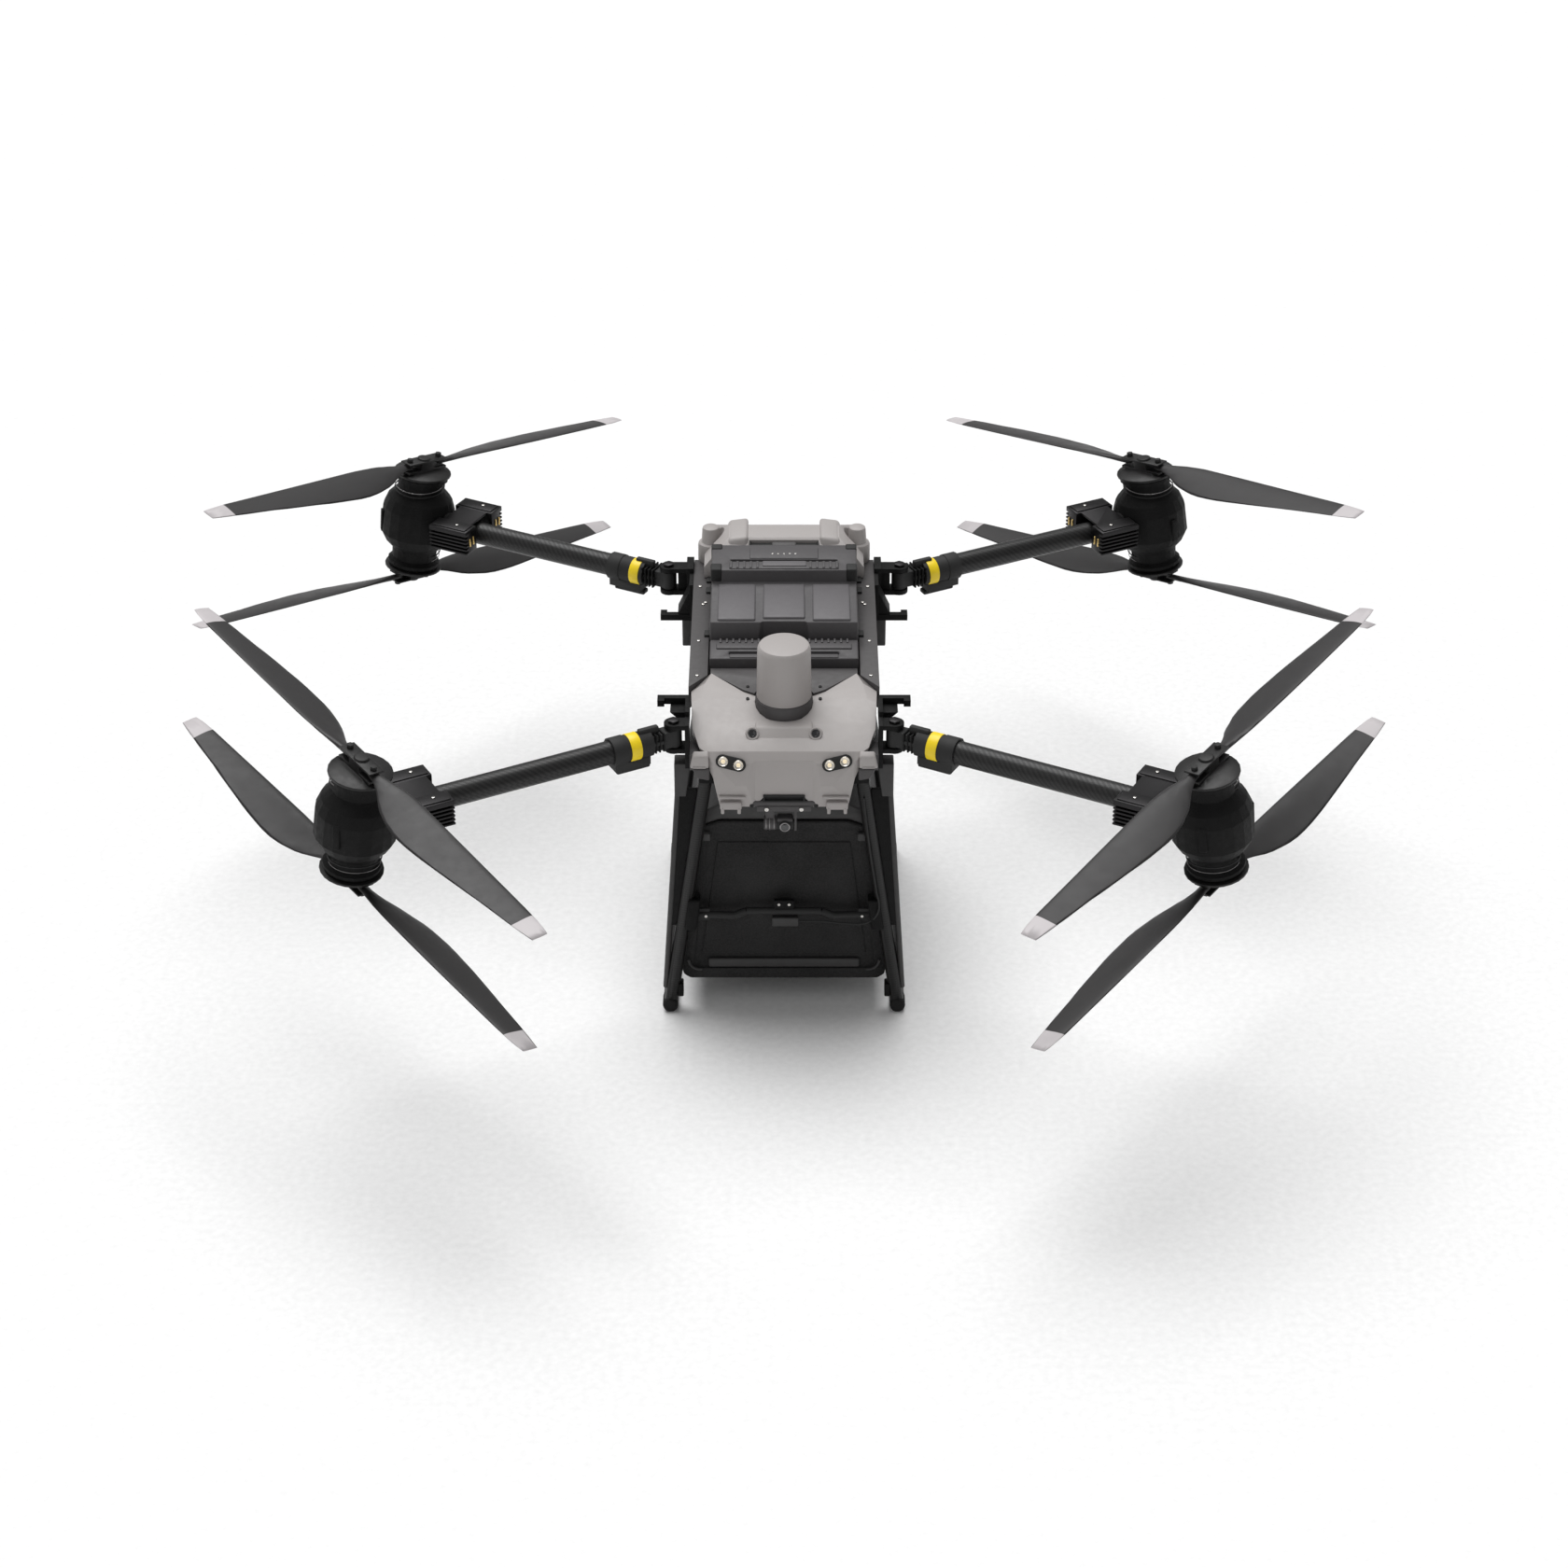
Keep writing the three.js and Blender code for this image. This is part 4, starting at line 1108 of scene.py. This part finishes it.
# ------------------------------------------------------------------ arms and rotors
@dataclass
class Arm:
    """One folding arm: hinge, socket, tube, motor pod and speed controllers."""

    end: End
    side: Side
    joints: dict[str, dict]
    controller_inset: float = 199.0

    def __post_init__(self) -> None:
        """Finds the arm's own axes from the joints."""
        self.tag = f"{self.end.value}_{self.side.tag}"
        self.body = f"arm_{self.tag}"
        self.hinge = Vector(self.joints[f"arm_fold_{self.tag}"]["pos_m"])
        spins = [Vector(self.joints[f"rotor_spin_{self.tag}_{level.tag}"]["pos_m"]) for level in Level]
        self.pod = (spins[0] + spins[1]) / 2
        self.pod_axis = (spins[0] - spins[1]).normalized()
        self.along = (self.pod - self.hinge).normalized()
        self.length = (self.pod - self.hinge).length
        self.aside = UP.cross(self.along).normalized()
        self.frame = self.axes(self.along, self.aside, self.hinge)
        self.pod_frame = self.axes(self.pod_axis.cross(self.aside).normalized() * -1, self.aside, self.pod)

    @staticmethod
    def axes(first: Vector, second: Vector, origin: Vector) -> Matrix:
        """A matrix with two given axes, their cross product and an origin."""
        matrix = Matrix((first, second, first.cross(second))).transposed().to_4x4()
        matrix.translation = origin
        return matrix

    def local(self, x: float, y: float, z: float) -> Vector:
        """A point in the arm's own frame, in millimetres from the hinge."""
        return self.frame @ Vector((x * MM, y * MM, z * MM))

    def build(self) -> None:
        """Builds every piece of the arm."""
        self.hinge_casting()
        self.socket()
        self.tube()
        self.motor_pod()
        self.controllers()

    def box(self, name: str, xs: Span, ys: Span, zs: Span, edge: float, finish: Finish) -> None:
        """Adds a rounded block in the arm's own frame."""
        low, high = Vector((xs[0], ys[0], zs[0])) * MM, Vector((xs[1], ys[1], zs[1])) * MM
        thing = soften(add_block(f"{name}_{self.tag}", low, high), edge * MM, 3)
        dress(place(thing, self.frame), self.body, finish)

    def hinge_casting(self) -> None:
        """The fixed hinge casting with its bolt and ribs."""
        node = f"arm_hinge_{self.tag}"
        dress(shell_of(node, f"hinge_casting_{self.tag}", 2.5 * MM, 2), "airframe", ROUGH_BLACK, [node])
        if self.end is End.REAR:
            self.hinge_web()
        self.hook_gusset()
        bolt = self.hinge + UP * 36 * MM
        head = add_round(f"hinge_bolt_{self.tag}", bolt, bolt + UP * 7 * MM, 14 * MM, sides=6)
        dress(soften(head, 1.5 * MM, 2), "airframe", ALLOY)

    def hinge_web(self) -> None:
        """The rib that ties a rear hinge's two ears together behind the knuckle."""
        sign = self.side.value
        across = sorted(self.hinge.x - sign * inward * MM for inward in (47, 23))
        low = Vector((across[0], self.hinge.y - 15 * MM, self.hinge.z - 26 * MM))
        high = Vector((across[1], self.hinge.y + 15 * MM, self.hinge.z + 26 * MM))
        plate(f"hinge_web_{self.tag}", low, high, 3 * MM, "airframe", ROUGH_BLACK)

    def hook_gusset(self) -> None:
        """The tapered gusset that carries the folded arm's hook."""
        low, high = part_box(f"arm_hinge_{self.tag}")
        sign = self.side.value
        front = self.end is End.FRONT
        edge = sorted((sign * 222 * MM, sign * 262 * MM))
        middle = (low.y + high.y) / 2
        run = (middle + 6 * MM, high.y - 2 * MM) if front else (low.y + 2 * MM, middle - 6 * MM)
        rise = (770, 803) if front else (716, 790)
        bottom, top = (Vector((edge[n], run[n], rise[n] * MM)) for n in (0, 1))
        gusset = add_block(f"hook_gusset_{self.tag}", bottom, top)
        far = rise[0] if front else rise[1]
        taper = Vector((-sign * 34 * MM, 0, 0))
        shift(gusset, lambda co: abs(co.z - far * MM) < MM and abs(co.x) > 240 * MM, taper)
        dress(soften(gusset, 2 * MM, 2), "airframe", ROUGH_BLACK)

    def socket(self) -> None:
        """The arm's root socket with clamp bolts and the yellow band."""
        node = f"arm_socket_{self.tag}"
        dress(shell_of(node, f"socket_casting_{self.tag}", 2 * MM, 2, 40), self.body, BLACK, [node], 40)
        start = 94 if self.end is End.FRONT else 72
        reach = self.local(start, 0, 0), self.local(start + 26, 0, 0)
        band = add_round(f"yellow_band_{self.tag}", *reach, 32.9 * MM, sides=48)
        dress(soften(band, 0.5 * MM, 2), self.body, YELLOW)
        for number, x in enumerate((76, 140)):
            for way in (-1, 1):
                seat = self.local(x, way * 17, -44)
                name = f"clamp_bolt_{self.tag}_{number}_{'in' if way < 0 else 'out'}"
                screw(name, seat, -UP, 5 * MM, self.body, ALLOY)
        self.box("socket_rib", (30, 66), (-20, 20), (-5, 5), 2, BLACK)
        half = 20 if self.end is End.FRONT else 25
        for number, x in enumerate((32, 42, 52, 62)):
            self.box(f"socket_fin_{number}", (x, x + 4), (-half, half), (-23, 25), 1, ROUGH_BLACK)
        self.box("socket_crest", (40, 90), (-7, 7), (18, 39), 3, BLACK)
        self.box("lock_lever", (66, 150), (-12, 12), (-58, -46), 4, BLACK)

    def tube(self) -> None:
        """The carbon tube."""
        node = f"arm_tube_{self.tag}"
        weave = CarbonWeave(f"arm_weave_{self.tag}", "carbon", (0.010, 0.0098, 0.0098), 0.4,
                            tuple(self.hinge), tuple(self.along), 0.028)
        dress(shell_of(node, f"carbon_tube_{self.tag}"), self.body, weave, [node], 50)

    def motor_pod(self) -> None:
        """The motor pod with its bell rings and seam."""
        node = f"motor_pod_{self.tag}"
        dress(shell_of(node, f"pod_casting_{self.tag}", 3 * MM, 3, 14), self.body, ROUGH_BLACK, [node], 40)
        rings = {"bell_ring_upper": (103, 60.4, 1.0, SATIN), "bell_seam_upper": (92, 60.6, 1.6, BLACK),
                 "bell_ring_lower": (-102, 57.2, 0.8, SATIN), "bell_seam_lower": (-88, 59, 1.6, BLACK)}
        for name, (height, radius, wire, finish) in rings.items():
            ring = add_ring(f"{name}_{self.tag}", UP * height * MM, UP, radius * MM, wire * MM)
            dress(place(ring, self.pod_frame), self.body, finish)
        for number in range(3):
            turn = Matrix.Rotation(math.radians(120 * number + 40), 4, "Z")
            low, high = Vector((88, -9, -30)) * MM, Vector((95, 9, 30)) * MM
            rib = soften(add_block(f"pod_rib_{self.tag}_{number}", low, high), 3 * MM, 3)
            dress(place(rib, self.pod_frame @ turn), self.body, ROUGH_BLACK)

    def controllers(self) -> None:
        """The two finned speed controllers beside the tube, with contacts and screws."""
        node = f"speed_controllers_{self.tag}"
        dress(shell_of(node, f"controller_boxes_{self.tag}", 1.2 * MM, 2), self.body, ALLOY, [node])
        start = self.length / MM - self.controller_inset
        for way, tag in ((-1, "a"), (1, "b")):
            xs = (start - 3, start + 2)
            for slit, y in (("inner", way * 62 - 8), ("outer", way * 62 + 8)):
                self.box(f"contact_{slit}_{tag}", xs, (y - 2.5, y + 2.5), (-4, 18), 1.5, GOLD)
            middle = way * 63
            lid = (start + 6, start + 102), (middle - 20, middle + 20), (40, 44)
            self.box(f"controller_lid_{tag}", *lid, 2, ALLOY)
            seat = self.local(start + 40, middle, 44)
            screw(f"controller_screw_{self.tag}_{tag}", seat, UP, 4 * MM, self.body)


@dataclass
class Rotor:
    """One folding two-blade rotor; a blade's outline stays sharp beyond sharp_from, in metres."""

    arm: Arm
    level: Level
    sharp_from: float = 0.68

    def build(self) -> None:
        """Builds the hub and both blades."""
        tag = f"{self.arm.tag}_{self.level.tag}"
        body = f"rotor_{tag}"
        hub = Vector(self.arm.joints[f"rotor_spin_{tag}"]["pos_m"])
        away = self.arm.pod_axis * self.level.value
        casting = shell_of(f"rotor_hub_{tag}", f"hub_casting_{tag}", 1.5 * MM, 2)
        dress(casting, body, ROTOR_BLACK, [f"rotor_hub_{tag}"])
        skin = BladeSkin(f"blade_skin_{tag}", "blade", (0.030, 0.0285, 0.029), 0.46, tuple(hub))
        for blade in ("a", "b"):
            node = f"blade_{tag}_{blade}"
            shape = shell_of(node, f"rotor_blade_{tag}_{blade}")
            crease(shape, lambda co: (co - hub).length > self.sharp_from)
            apply_modifier(shape, "SUBSURF", levels=1, render_levels=1, subdivision_type="CATMULL_CLARK")
            dress(shape, node, skin, [node], 70)
            pivot = Vector(self.arm.joints[f"blade_fold_{tag}_{blade}"]["pos_m"])
            pivot = pivot + away * (hub + away * 22 * MM - pivot).dot(away)
            seat, top = pivot + away * 12 * MM, pivot + away * 22 * MM
            bolt = add_round(f"blade_bolt_{tag}_{blade}", seat, top, 8 * MM, sides=6)
            dress(soften(bolt, 1 * MM, 2), body, BLACK)
        cap = add_round(f"hub_cap_{tag}", hub + away * 33 * MM, hub + away * 40 * MM, 19 * MM, 16 * MM, 40)
        dress(soften(cap, 2 * MM, 3), body, ROTOR_BLACK)


# ------------------------------------------------------------------ studio
@dataclass
class Studio:
    """The floor, the soft lights and the camera, in metres and degrees; the lens is in millimetres."""

    camera_at: Triple = (0.0, -7.1672, 4.6938)
    pitch: float = 30.75
    lens: float = 79.07
    sensor: float = 36.0
    floor_size: float = 60.0
    room_light: float = 0.3
    sun_softness: float = 50.0

    def build(self) -> None:
        """Builds the studio."""
        clear_selection()
        bpy.ops.mesh.primitive_plane_add(size=self.floor_size)
        floor = settle("floor")
        paper = Finish("pale_paper", "shell", (0.86, 0.86, 0.86), 0.9)
        floor.data.materials.append(paper.material())
        world = bpy.data.worlds.new("soft_room")
        world.use_nodes = True
        room = world.node_tree.nodes["Background"]
        room.inputs["Color"].default_value = (1, 1, 1, 1)
        room.inputs["Strength"].default_value = self.room_light
        bpy.context.scene.world = world
        bpy.context.scene.view_settings.view_transform = "Standard"
        self.light("overhead", (-0.8, 2.2, 6.0), 2.9)
        self.light("front_left", (-4.0, -5.0, 4.0), 0.2)
        self.camera()

    def light(self, name: str, at: Triple, strength: float) -> None:
        """Adds a broad, soft sun that shines from a point towards the drone."""
        clear_selection()
        bpy.ops.object.light_add(type="SUN", location=at)
        lamp = bpy.context.object
        lamp.name = name
        lamp.data.angle = math.radians(self.sun_softness)
        lamp.data.energy = strength
        lamp.rotation_euler = (-Vector(at)).to_track_quat("-Z", "Y").to_euler()

    def camera(self) -> None:
        """Adds the camera, level and looking down at the drone."""
        clear_selection()
        bpy.ops.object.camera_add(location=self.camera_at, rotation=(math.radians(90 - self.pitch), 0, 0))
        camera = bpy.context.object
        camera.data.lens = self.lens
        camera.data.sensor_width = self.sensor
        bpy.context.scene.camera = camera


def main() -> None:
    """Builds the drone's looks in order."""
    logging.basicConfig(level=logging.INFO, format="%(name)s: %(message)s")
    joints = {joint["name"]: joint for joint in FRAME["joints"]}
    low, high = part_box("cargo_case")
    datum = Datum((low.y + high.y) / 2)
    for part in (Nose, Airframe, Batteries, Cargo, LandingGear, NoseCamera):
        part(datum).build()
    for end in End:
        for side in Side:
            arm = Arm(end, side, joints)
            arm.build()
            for level in Level:
                Rotor(arm, level).build()
    Studio().build()


if __name__ == "__main__":
    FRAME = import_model()
    main()
